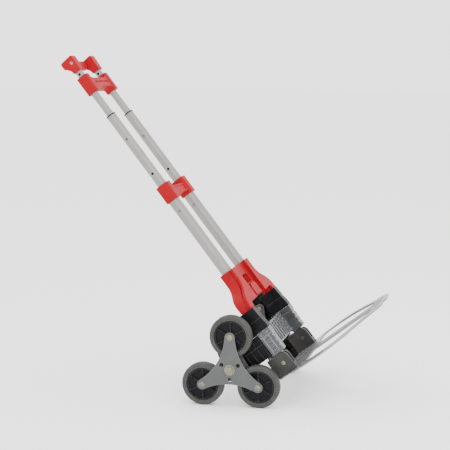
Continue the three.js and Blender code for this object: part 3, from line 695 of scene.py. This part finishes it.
def tube_collar(side):
    node = f"tube_collar_{side}"
    low, high = span(node)
    r = radius_of(node)
    spigot = radius_of(f"middle_tube_{side}") - WALL - GAP
    under = top_of(f"middle_tube_{side}") + GAP
    round_r, edge, lead = 1.4 * MM, 0.4 * MM, 0.6 * MM
    bore = radius_of(f"inner_tube_{side}") + GAP
    profile = [(bore, low.z), (spigot, low.z), (spigot, under), (r - edge, under), (r, under + edge)]
    profile += arc((r - round_r, high.z - round_r), round_r, 0, 90, 6)
    profile += [(bore + lead, high.z), (bore, high.z - lead)]
    shape = turned(profile, axis="Z", at=centre_of(node)[:2], steps=72)
    piece(node, "moulding", shape, "black_plastic", "middle_stage")


for side in SIDES:
    middle_lock = centre_of(f"middle_lock_pin_{side}").z
    inner_lock = centre_of(f"inner_lock_pin_{side}").z
    spare = top_of(f"middle_tube_{side}") - MIDDLE_SPARE
    top_hole = top_of(f"inner_tube_{side}") - INNER_SPARE
    drawn_tube(f"outer_tube_{side}", "frame", [middle_lock])
    drawn_tube(f"middle_tube_{side}", "middle_stage", [middle_lock, spare, inner_lock])
    drawn_tube(f"inner_tube_{side}", "inner_stage", [inner_lock, top_hole], INNER_LOCK_R)
    tube_collar(side)
print("lock holes at", round(middle_lock, 3), round(inner_lock, 3))

# %% [markdown]
# ## Yoke
# One large moulding ties both tubes together and splays down to the corner blocks. It is drawn from the
# front as one outline, with Bezier curves for its waisted sides. Three layers of that outline, the middle
# one smaller, leave the groove that runs down each side.

# %% Yoke
SOCKET_WALL = 4.5 * MM
LEG = 36 * MM
ARCH = 14 * MM
GROOVE = 3.5 * MM
GROOVE_BACK, GROOVE_FRONT = 12 * MM, 7.5 * MM
WEB_REAR, WEB_FRONT = -6.5 * MM, 11.5 * MM
HEEL_X, HEEL_Z = 8 * MM, 50 * MM
SHOULDER, WAIST = 36 * MM, 72 * MM
WINDOW_Z = (61.4 * MM, 91.4 * MM)
LATCH_HALF, LATCH_TRAVEL = 32 * MM, 4 * MM
FRAME_W = 2.5 * MM
PAST = 1 * MM
TUBE = centre_of("outer_tube_right")
TUBE_R = radius_of("outer_tube_right")
TUBE_SPOTS = [(TUBE.x, sign * TUBE.y) for sign in SIDES.values()]
YOKE_LOW, YOKE_HIGH = span("yoke")


def both(curve):
    """A line drawn for +u, followed by its mirror image back to the start."""
    return curve + [(-u, v) for u, v in reversed(curve)]


def bezier(*corners, steps=12):
    spots = [Vector((u, v, 0)) for u, v in corners]
    return [tuple(point[:2]) for point in interpolate_bezier(*spots, steps)]


def yoke_outline(shrink=0.0):
    """Half the yoke from the front, from the arch round the foot and up the waisted side."""
    foot, top = YOKE_LOW.z, YOKE_HIGH.z - shrink
    socket = TUBE.y + TUBE_R + SOCKET_WALL - shrink
    outer = YOKE_HIGH.y - shrink
    inner = YOKE_HIGH.y - LEG + shrink
    arch = foot + ARCH + shrink
    spring = foot + 4 * MM
    bend = 28 * MM
    corner = (inner - 4 * MM, arch)
    arch_end, arch_start = (inner, spring), (inner - bend, arch)
    half = bezier(arch_start, corner, corner, arch_end, steps=10) + [(inner, foot), (outer, foot)]
    half += bezier((outer, foot + 8 * MM), (outer - 6 * MM, top - WAIST), (socket, top - WAIST),
                   (socket, top - SHOULDER), steps=18)
    return both(half + [(socket, top)])


def bore_up(radius, low, high, at, segments=72):
    """A bore that clears something round that stands along the truck."""
    return rod(radius + GAP, low, high, axis="Z", at=at, segments=segments)


def window_shape(grow):
    half = LATCH_HALF + grow
    low, high = YOKE_LOW.z + WINDOW_Z[0] - grow, YOKE_LOW.z + WINDOW_Z[1] + grow
    return rounded_box((-half, low), (half, high), 2.5 * MM + grow)


def latch_outline(grow):
    low, high = span("plate_latch")
    half, chamfer = high.y + grow, 12 * MM
    base, top = low.z - grow, high.z + grow
    r = 3 * MM
    return rounded([(-half, base, r), (half, base, r), (half, top - chamfer, r), (half - chamfer, top, r),
                    (chamfer - half, top, r), (-half, top - chamfer, r)])


def yoke():
    rear, front = YOKE_LOW.x, YOKE_HIGH.x
    web = (TUBE.x + WEB_REAR, TUBE.x + WEB_FRONT)
    between = TUBE.y - TUBE_R - SOCKET_WALL
    groove = (front - GROOVE_BACK, front - GROOVE_FRONT)
    body = fuse(slab(yoke_outline(), (rear, groove[0]), "X", edge=2.5 * MM),
                slab(yoke_outline(GROOVE), (groove[0] - PAST, groove[1] + PAST), "X"),
                slab(yoke_outline(), (groove[1], front), "X", edge=2 * MM))
    above, foot = YOKE_HIGH.z + PAST, YOKE_LOW.z
    body = carve(body,
                 box((web[1], -between, foot + 8 * MM), (front + PAST, between, above), edge=1.5 * MM),
                 box((rear - PAST, -between, foot - PAST), (web[0], between, above), edge=1.5 * MM))
    body = fuse(body, slab(window_shape(FRAME_W), (web[1] - PAST, web[1] + FRAME_W), "X", edge=0.8 * MM))
    heel = [(rear - PAST, foot - PAST), (rear + HEEL_X, foot - PAST), (rear, foot + HEEL_Z),
            (rear - PAST, foot + HEEL_Z)]
    pocket = span("plate_latch")[0].x - LATCH_TRAVEL - GAP
    tools = [slab(window_shape(0), (web[0] - PAST, web[1] + 3 * MM), "X"),
             slab(latch_outline(GAP), (pocket, web[1] + PAST), "X"),
             slab(heel, (-YOKE_HIGH.y - PAST, YOKE_HIGH.y + PAST), "Y")]
    socket = span("outer_tube_right")[0].z - GAP
    for side, at in zip(SIDES, TUBE_SPOTS):
        tools += [bore_up(TUBE_R, socket, above, at), side_recess(side, groove, foot)]
    return carve(body, *tools)


def across(side, near, far):
    """The stretch of y from near to far on one side of the truck."""
    return (near, far) if SIDES[side] > 0 else (-far, -near)


def side_recess(side, groove, foot):
    """The groove opens into a tapered recess at the foot of each leg."""
    back, front = groove[0] - 7 * MM, groove[1]
    top = foot + 44 * MM
    outline = [(front, foot - PAST), (front, top), (groove[0], top), (back, foot + 10 * MM),
               (back, foot - PAST)]
    return slab(outline, across(side, YOKE_HIGH.y - 5 * MM, YOKE_HIGH.y + PAST), "Y")


piece("yoke", "moulding", yoke(), "red_plastic", "frame", bevel=0.6 * MM)
low, high = span("plate_latch")
pad = slab(latch_outline(0), (low.x, high.x), "X", edge=1.6 * MM)
piece("plate_latch", "pad", pad, "red_plastic", "plate_latch")
print("yoke", [round(v, 3) for v in YOKE_HIGH - YOKE_LOW])

# %% [markdown]
# ## Corner blocks and columns
# A black nylon block caps each column. It is two shells clipped together, so its two halves are separate
# rounded slabs joined by a smaller core, which leaves a fine seam.


# %% Corner blocks
def corner_block(side):
    node = f"corner_block_{side}"
    low, high = span(node)
    seam, half_gap = high.z - 36 * MM, 0.6 * MM
    over, under = seam + half_gap, seam - half_gap
    flare = high.x - 5 * MM
    bulge = flare + 2 * MM
    upper = rounded([(low.x, over, 1 * MM), (bulge, over, 1 * MM), (flare, high.z, 2.5 * MM),
                     (low.x, high.z, 2.5 * MM)])
    lower = rounded([(low.x, low.z, 1 * MM), (high.x, low.z, 2 * MM), (high.x, low.z + 12 * MM, 4 * MM),
                     (bulge, under, 1 * MM), (low.x, under, 1 * MM)])
    y, edge = (low.y, high.y), 2.2 * MM
    core = box((low.x + 2 * MM, low.y + 1.2 * MM, low.z + 5 * MM),
               (flare - 1 * MM, high.y - 1.2 * MM, high.z - 5 * MM))
    shape = fuse(slab(upper, y, edge=edge), core, slab(lower, y, edge=edge))
    piece(node, "moulding", shape, "black_plastic", "frame")


for side in SIDES:
    corner_block(side)

# %% [markdown]
# The columns are light grey mouldings. The front edge is notched into rounded bumps, the outer face has two
# long ribs with shallow pockets between them, and the top has a thicker flange with two screw holes.

# %% Columns
FLANGE_T = 18.5 * MM
LEDGE = 1 * MM
NOTCH_PITCH = 17 * MM
NOTCH_W, NOTCH_DEEP = 4 * MM, 3 * MM
POCKET_X, POCKET_HALF = (10.5 * MM, 25.5 * MM), 5.5 * MM
COLUMN_RIBS, RIB_W = (7 * MM, 27.5 * MM), 1.8 * MM
TONGUE_R = 14 * MM
TONGUE_HALF = 8 * MM
PIN_R = 4 * MM
PIN = centre_of("hinge_pin_right")


def column_cuts(side, inner, outer, rear, front, base, flange):
    """Notches along the front, pockets in the outer face and the two screw holes of the flange."""
    wide = across(side, inner - PAST, outer + PAST)
    pocket = across(side, outer - NOTCH_DEEP, outer + 2 * PAST)
    cuts = []
    height = flange - NOTCH_PITCH / 2
    while height > base + NOTCH_PITCH / 2:
        cuts.append(box((front - NOTCH_DEEP, wide[0], height - NOTCH_W / 2),
                        (front + PAST, wide[1], height + NOTCH_W / 2), edge=0.6 * MM))
        cuts.append(box((rear + POCKET_X[0], pocket[0], height - POCKET_HALF),
                        (rear + POCKET_X[1], pocket[1], height + POCKET_HALF), edge=1 * MM))
        height -= NOTCH_PITCH
    hole = across(side, outer - 1 * MM, outer + 3 * MM)
    return cuts + [rod(2.6 * MM, *hole, at=(x, flange + FLANGE_T / 2), segments=24)
                   for x in (rear + 9 * MM, front - 10 * MM)]


def tongue(side, middle, base):
    y = across(side, middle - TONGUE_HALF, middle + TONGUE_HALF)
    neck = box((PIN.x - TONGUE_R, y[0], PIN.z), (PIN.x + TONGUE_R, y[1], base + 2 * MM))
    return neck, rod(TONGUE_R, *y, at=(PIN.x, PIN.z), segments=48)


def column(side):
    node = f"column_{side}"
    low, high = span(node)
    near, far = reach_of(node)
    inner, outer = near + LEDGE, far - LEDGE
    rear, front = low.x, high.x - LEDGE
    base, flange_z = top_of(f"foot_{side}") + 3 * MM, high.z - FLANGE_T
    y, proud = across(side, inner, outer), across(side, near, far)
    post = box((rear, y[0], base), (front, y[1], high.z - 3 * MM), edge=2 * MM)
    flange = box((rear, proud[0], flange_z), (high.x, proud[1], high.z), edge=1.2 * MM)
    face = across(side, outer - 1 * MM, outer + 0.9 * MM)
    ribs = [box((rear + x, face[0], base + 4 * MM), (rear + x + RIB_W, face[1], flange_z + PAST),
                edge=0.5 * MM) for x in COLUMN_RIBS]
    shape = carve(fuse(post, flange, *ribs), *column_cuts(side, inner, outer, rear, front, base, flange_z))
    shape = fuse(shape, *tongue(side, (inner + outer) / 2, base))
    shape = carve(shape, rod(PIN_R + GAP, *across(side, inner - PAST, outer + PAST), at=(PIN.x, PIN.z)))
    piece(node, "moulding", shape, "column_grey", "frame", bevel=0.4 * MM)


for side in SIDES:
    column(side)
print("hinge at", round(PIN.x, 4), round(PIN.z, 4))

# %% [markdown]
# A moulded panel stiffens the frame between the columns. It is thin, so it has a hem along each long edge
# and a row of upright ribs, as such panels do.

# %% Cross panel
HEM_OUT, HEM_H = 4 * MM, 5 * MM
RIB_PITCH, RIB_HALF_W, RIB_OUT = 24 * MM, 1.2 * MM, 2.5 * MM
low, high = span("cross_panel")
face = high.x - HEM_OUT
half = span("column_right")[0].y - GAP
panel = box((low.x, -half, low.z), (face, half, high.z))
tab_top = top_of("column_right") - FLANGE_T - GAP
parts = [box((low.x, low.y, low.z), (face, high.y, tab_top))]
parts += [box((low.x, -half, z), (high.x, half, z + HEM_H), edge=1.2 * MM) for z in (low.z, high.z - HEM_H)]
for i in range(-5, 6):
    y = i * RIB_PITCH
    parts.append(box((face - PAST, y - RIB_HALF_W, low.z + 2 * MM),
                     (face + RIB_OUT, y + RIB_HALF_W, high.z - 2 * MM), edge=0.5 * MM))
piece("cross_panel", "moulding", fuse(panel, *parts), "column_grey", "frame", bevel=0.3 * MM)

# %% [markdown]
# The bracket behind each column carries the axle. Thick plastic would sink as it cools, so it is hollowed
# into a grid of thin ribs with little round bosses where they cross.

# %% Axle brackets
CHEEK_PROUD = 3 * MM
BOSS = 20 * MM
CELL = 20 * MM
RIB_T = 1.6 * MM
CELL_DEPTH = 6 * MM
RIM_T = 3 * MM
CELL_LAST = 16 * MM
CROSS_BOSS_R = 2.3 * MM
CHEEK_SHOULDER, CHEEK_HALF, CHEEK_ROUND = 56.7 * MM, 19 * MM, 12 * MM


def cheek_outline(rear, low, top, reach):
    shoulder, nose = rear - CHEEK_SHOULDER, 6 * MM - reach
    return rounded([(rear, low), (rear, top), (shoulder, top, 6 * MM), (nose, CHEEK_HALF, CHEEK_ROUND),
                    (-reach, 0, CHEEK_ROUND), (nose, -CHEEK_HALF, CHEEK_ROUND),
                    (shoulder - 3 * MM, low, 6 * MM)])


def axle_bracket(side):
    node = f"axle_bracket_{side}"
    low, high = span(node)
    rear, bottom, top = high.x, low.z, high.z
    inner, boss_face = reach_of(node)
    outer = span("column_right")[1].y - LEDGE + CHEEK_PROUD
    shape = fuse(slab(cheek_outline(rear, bottom, top, -low.x), across(side, inner, outer), "Y",
                      edge=1.2 * MM),
                 rod(BOSS, *across(side, inner + 5 * MM, boss_face), segments=64))
    deep = across(side, outer - CELL_DEPTH, outer + PAST)
    stub = across(side, outer - CELL_DEPTH - PAST, outer - 0.4 * MM)
    shelf = RIM_T - RIB_T / 2
    rows = ((shelf + RIB_T / 2, top - RIM_T), (bottom + RIM_T, shelf - RIB_T / 2))
    cells, bosses = [], []
    x = rear - 5 * MM
    while x - CELL_LAST > BOSS + 6 * MM:
        left = x - CELL + RIB_T
        cells += [box((left, deep[0], z[0]), (x, deep[1], z[1]), edge=0.5 * MM) for z in rows]
        bosses.append(rod(CROSS_BOSS_R, *stub, at=(left - RIB_T / 2, shelf), segments=20))
        x -= CELL
    shape = fuse(carve(shape, *cells), *bosses)
    shape = carve(shape, rod(AXLE_BORE, *across(side, inner - PAST, boss_face + PAST), segments=48))
    piece(node, "moulding", shape, "black_plastic", "frame", bevel=0.3 * MM)


for side in SIDES:
    axle_bracket(side)

# %% [markdown]
# ## Toe plate
# The plate is pressed aluminium. Its outline and its two large slots are given as corner points with a
# radius each. A bead follows the rim and each slot, because a flat sheet this thin would bend.

# %% Toe plate
PLATE_EDGE = [(0, 0, 6), (30, 0, 10), (60, 31, 20), (110, 59, 28), (176, 61, 28), (232, 37, 28),
              (288, -31, 24), (334, -65, 16), (356, -85, 6)]
PLATE_TIP = [(356, 40, 2), (348, 40, 2), (348, 31, 2), (366, 31, 3)]
SLOT_EDGE = [(310, -99, 8), (266, -49, 20), (214, 1, 20), (170, 19, 20), (118, 15, 12), (100, -1, 8)]
SLOT_INNER = [(100, 34, 8), (312, 34, 8)]
BEAD_IN, BEAD_W, BEAD_H = 2.5 * MM, 3.5 * MM, 1.2 * MM
SPINE_X, SPINE_HALF = (105 * MM, 315 * MM), 5 * MM
PLATE_LOW, PLATE_HIGH = span("toe_plate")
FOOT_Y = reach_of("foot_right")


def plate_points(points, from_y):
    return [(PLATE_LOW.x + x * MM, from_y + y * MM, r * MM) for x, y, r in points]


def bead(points, z, grow=1):
    """A rounded ridge that follows a closed line, outside a hole when grow is -1."""
    near, far = inset(points, grow * BEAD_IN), inset(points, grow * (BEAD_IN + BEAD_W))
    wide, narrow = (near, far) if grow > 0 else (far, near)
    ridge = slab(wide, (z - PAST, z + BEAD_H), "Z", edge=0.8 * MM)
    return carve(ridge, slab(narrow, (z - 2 * PAST, z + 2 * PAST), "Z"))


def toe_plate():
    bottom, top = PLATE_LOW.z, PLATE_HIGH.z
    half = plate_points(PLATE_EDGE, FOOT_Y[1]) + plate_points(PLATE_TIP, 0)
    outline = rounded(half + [(x, -y, r) for x, y, r in reversed(half)])
    slot = plate_points(SLOT_INNER, 0) + plate_points(SLOT_EDGE, FOOT_Y[1])
    slots = [rounded([(x, sign * y, r) for x, y, r in slot]) for sign in (1, -1)]
    shape = slab(outline, (bottom, top), "Z", edge=1.0 * MM)
    shape = carve(shape, *[slab(points, (bottom - PAST, top + PAST), "Z") for points in slots])
    ridges = [bead(outline, top)] + [bead(points, top, grow=-1) for points in slots]
    spine = rounded_box((PLATE_LOW.x + SPINE_X[0], -SPINE_HALF), (PLATE_LOW.x + SPINE_X[1], SPINE_HALF),
                        4 * MM)
    ridges.append(slab(spine, (top - PAST, top + BEAD_H), "Z", edge=0.9 * MM))
    return carve(fuse(shape, *ridges), *[foot_pad(side, top) for side in SIDES])


def foot_pad(side, top):
    """The feet stand on bare plate, so the bead stops around them."""
    y = across(side, FOOT_Y[0] - PAST, FOOT_Y[1] + 2 * PAST)
    front = span("foot_right")[1].x + 1 * MM
    return box((PLATE_LOW.x - PAST, y[0], top), (front, y[1], top + 4 * PAST))


DOT_ROWS, DOT_START, DOT_STEP = 5, 318 * MM, (6 * MM, 6.5 * MM)
DOT_R, DOT_TOP_R, DOT_DEPTH = 1.7 * MM, 0.9 * MM, 1.6 * MM


def tread_dots(top):
    """Small raised dots that keep a parcel from sliding off the tip; every other row is shifted."""
    dots = bmesh.new()
    for i in range(DOT_ROWS):
        x = PLATE_LOW.x + DOT_START + i * DOT_STEP[0]
        for j in range(-12, 13):
            y = (j + 0.5 * (i % 2)) * DOT_STEP[1]
            if abs(y) < (88 - 3 * i) * MM:
                bmesh.ops.create_cone(dots, cap_ends=True, segments=10, radius1=DOT_R, radius2=DOT_TOP_R,
                                      depth=DOT_DEPTH, matrix=Matrix.Translation((x, y, top)))
    return dots


plate = fuse(toe_plate(), tread_dots(PLATE_HIGH.z))
piece("toe_plate", "pressing", plate, "plate_aluminium", "toe_plate", bevel=0.2 * MM, steps=1)
print("toe plate", [round(v, 3) for v in PLATE_HIGH - PLATE_LOW])

# %% [markdown]
# A foot stands on each rear corner of the plate. Its outer face has a fine groove just inside the edge, and
# it is slotted for the hinge tongue. The steel pin through both has a domed head with a hexagon socket.

# %% Feet and hinge pins
FOOT_ROUND = 18 * MM
RING_NEAR, RING_FAR, RING_DEEP = 4.2 * MM, 5.6 * MM, 0.9 * MM
PIN_HEAD_R, PIN_SOCKET_R = 6 * MM, 2.2 * MM


def foot(side):
    node = f"foot_{side}"
    low, high = span(node)
    outline = rounded([(low.x, low.z, 1 * MM), (high.x, low.z, 1 * MM), (high.x, high.z, FOOT_ROUND),
                       (low.x, high.z, 4 * MM)], 12)
    inner, outer = FOOT_Y
    middle = (inner + outer) / 2
    shape = slab(outline, (low.y, high.y), edge=1.5 * MM)
    face = across(side, outer - RING_DEEP, outer + PAST)
    island = (face[0] - PAST, face[1] + PAST)
    ring = carve(slab(inset(outline, RING_NEAR), face, "Y"), slab(inset(outline, RING_FAR), island, "Y"))
    slot = across(side, middle - TONGUE_HALF - GAP, middle + TONGUE_HALF + GAP)
    reach = TONGUE_R + GAP
    shape = carve(shape, ring,
                  box((PIN.x - reach, slot[0], PIN.z - reach), (high.x + PAST, slot[1], high.z + PAST)),
                  rod(PIN_R + GAP, *across(side, inner - PAST, outer + PAST), at=(PIN.x, PIN.z)))
    piece(node, "moulding", shape, "foot_grey", "toe_plate")


def hinge_pin(side):
    node = f"hinge_pin_{side}"
    seat = FOOT_Y[1] + GAP
    root, tip = reach_of(node)
    shape = turned(button_head(PIN_HEAD_R, tip - seat, PIN_R, seat - root), steps=40)
    shape = carve(shape, hex_bar(PIN_SOCKET_R, 0.9 * MM, 4 * MM))
    shape = shifted(facing(shape, side, seat), (PIN.x, 0, PIN.z))
    piece(node, "turned", shape, "zinc", "toe_plate")


for side in SIDES:
    foot(side)
    hinge_pin(side)

# %% [markdown]
# ## Braces and handle
# The brace at the top of the outer tubes and the release bar near the handle are made alike: a boxy sleeve
# round each tube, joined by a bar. Generous rounding lets them leave the mould and feels right in the hand.


# %% Brace and release bar
BAR_OVER = 3 * MM
RECESS_IN = 12 * MM


def sleeves(low, high, corner):
    """The boxy sleeve round each of the two tubes."""
    half = high.y - TUBE.y
    return [slab(rounded_box((low.x, y - half), (high.x, y + half), corner, 8), (low.z, high.z), "Z",
                 edge=2 * MM) for y in (-TUBE.y, TUBE.y)]


def mid_brace():
    low, high = span("mid_brace")
    reach = 2 * TUBE.y - high.y + BAR_OVER
    bar_z = (low.z + 11 * MM, low.z + 41 * MM)
    bar = box((low.x + 9 * MM, -reach, bar_z[0]), (high.x - 7 * MM, reach, bar_z[1]), edge=2.5 * MM,
              steps=4)
    end = reach - RECESS_IN
    tools = [box((high.x - 9.5 * MM, -end, bar_z[0] + 5 * MM), (high.x, end, bar_z[1] - 5 * MM),
                 edge=1.2 * MM)]
    rim = top_of("outer_tube_right") + GAP
    for at in TUBE_SPOTS:
        tools += [bore_up(TUBE_R, low.z - PAST, rim, at),
                  bore_up(radius_of("middle_tube_right"), rim - PAST, high.z + PAST, at)]
    return carve(fuse(bar, *sleeves(low, high, 9 * MM)), *tools)


def release_outline(foot, reach):
    """A hand-sized bar that flares where it meets the sleeves."""
    low, high = foot + 13 * MM, foot + 47 * MM
    start, bend = reach - 30 * MM, reach - 18 * MM
    below = bezier((start, low), (bend, low), (reach - 12 * MM, low), (reach, low - 10 * MM), steps=9)
    above = bezier((reach, high + 8 * MM), (reach - 10 * MM, high + 2 * MM), (bend, high), (start, high),
                   steps=9)
    return both(below + above)


def release_bar():
    low, high = span("release_bar")
    reach = 2 * TUBE.y - high.y + BAR_OVER
    front = high.x - 3 * MM
    shape = fuse(slab(release_outline(low.z, reach), (low.x + 4 * MM, front), "X", edge=4 * MM, steps=5),
                 *sleeves(low, high, 8 * MM))
    inner_r = radius_of("inner_tube_right")
    tools = [bore_up(inner_r, low.z - PAST, high.z + PAST, at, 64) for at in TUBE_SPOTS]
    end = reach - RECESS_IN
    tools.append(box((front - 2.5 * MM, -end, low.z + 27 * MM), (front + PAST, end, low.z + 33 * MM),
                     edge=1 * MM))
    return carve(shape, *tools)


piece("mid_brace", "moulding", mid_brace(), "red_plastic", "frame", bevel=0.5 * MM)
piece("release_bar", "moulding", release_bar(), "red_plastic", "release_bar", bevel=0.5 * MM)

# %% [markdown]
# Each inner tube ends in a cap, and the grip spans the two caps. A small screw holds each cap on its tube.

# %% Handle
SCREW = centre_of("cap_screw_right")
INNER_R = radius_of("inner_tube_right")
SCREW_R, SCREW_H = 4.8 * MM, 1.8 * MM
CROSS_HALF = 2.6 * MM


def handle_cap(side):
    node = f"handle_cap_{side}"
    low, high = span(node)
    behind = TUBE.x - INNER_R - 1 * MM
    outline = rounded([(low.x, low.z + 26 * MM, 5 * MM), (low.x + 8.5 * MM, low.z + 22 * MM, 6 * MM),
                       (behind - 1.5 * MM, low.z + 12 * MM, 7 * MM), (behind, low.z, 2 * MM),
                       (high.x - 2.5 * MM, low.z, 2 * MM), (high.x, high.z, 6 * MM),
                       (low.x, high.z - 3 * MM, 6 * MM)], 8)
    face = reach_of(node)[1]
    tools = [bore_up(INNER_R, low.z - PAST, top_of("inner_tube_right") + GAP,
                     (TUBE.x, (low.y + high.y) / 2), 48),
             rod(2.3 * MM, *across(side, face - 6 * MM, face + PAST), at=(SCREW.x, SCREW.z))]
    shape = carve(slab(outline, (low.y, high.y), edge=2.8 * MM, steps=4), *tools)
    piece(node, "moulding", shape, "red_plastic", "inner_stage", bevel=0.3 * MM)


def cap_screw(side):
    node = f"cap_screw_{side}"
    seat = reach_of(node)[1] - SCREW_H
    shape = turned(button_head(SCREW_R, SCREW_H, 2 * MM, 5 * MM), steps=36)
    for i in (0, 1):
        bar = box((-CROSS_HALF, 0.8 * MM, -0.5 * MM), (CROSS_HALF, 3 * MM, 0.5 * MM))
        shape = carve(shape, spun(bar, i * math.pi / 2))
    shape = shifted(facing(shape, side, seat), (SCREW.x, 0, SCREW.z))
    piece(node, "turned", shape, "zinc", "inner_stage")


for side in SIDES:
    handle_cap(side)
    cap_screw(side)
low, high = span("handle_grip")
grip = slab(rounded_box((low.x, low.z), (high.x, high.z), 7 * MM, 8), (low.y, high.y), edge=0.8 * MM)
piece("handle_grip", "moulding", grip, "red_plastic", "inner_stage")
print("handle", [round(v, 3) for v in high])

# %% [markdown]
# ## Studio
# A plain white floor under an evenly white sky, as bright as each other, so that hardly any horizon shows.
# Large lamps add soft light from above, from the viewer's side and from the front of the truck.

# %% Floor, lights and camera
FLOOR_HALF = 40
SKY_STRENGTH = 2.6
ground = bmesh.new()
bmesh.ops.create_grid(ground, x_segments=1, y_segments=1, size=FLOOR_HALF)
floor = as_object(ground, "floor")
floor.data.materials.append(finish("floor_white", (0.97, 0.97, 0.97), 0.9, gloss=0.0, mottle=0.0, dust=0.0,
                                   bump=0.0))


def lamp(name, place, target, size, power):
    light = bpy.data.lights.new(name, "AREA")
    light.shape = "RECTANGLE"
    light.size, light.size_y = size
    light.energy = power
    made = bpy.data.objects.new(name, light)
    made.location = place
    made.rotation_euler = (Vector(target) - Vector(place)).to_track_quat("-Z", "Y").to_euler()
    bpy.context.scene.collection.objects.link(made)


AIM = (0, 0, 0.45)
lamp("key", (1.6, -2.6, 2.2), AIM, (1.6, 1.6), 34)
lamp("front", (2.6, 0.4, 1.0), AIM, (0.8, 1.8), 12)
lamp("top", (0, 0, 3.2), AIM, (2.0, 2.0), 22)

world = bpy.data.worlds.new("studio")
bpy.context.scene.world = world
world.use_nodes = True
sky = world.node_tree.nodes["Background"]
sky.inputs["Color"].default_value = (1, 1, 1, 1)
sky.inputs["Strength"].default_value = SKY_STRENGTH

AZIMUTH, ELEVATION = math.radians(13.4), math.radians(7.7)
lens = bpy.data.cameras.new("camera")
lens.lens = 96
lens.sensor_width = 36
camera = bpy.data.objects.new("camera", lens)
backward = Vector((math.sin(AZIMUTH) * math.cos(ELEVATION), -math.cos(AZIMUTH) * math.cos(ELEVATION),
                   math.sin(ELEVATION)))
camera.location = AXLE + Vector((0.766, -3.503, 0.875))
camera.rotation_mode = "QUATERNION"
camera.rotation_quaternion = (-backward).to_track_quat("-Z", "Y")
bpy.context.scene.collection.objects.link(camera)
bpy.context.scene.camera = camera
print("camera at", [round(x, 3) for x in camera.location])
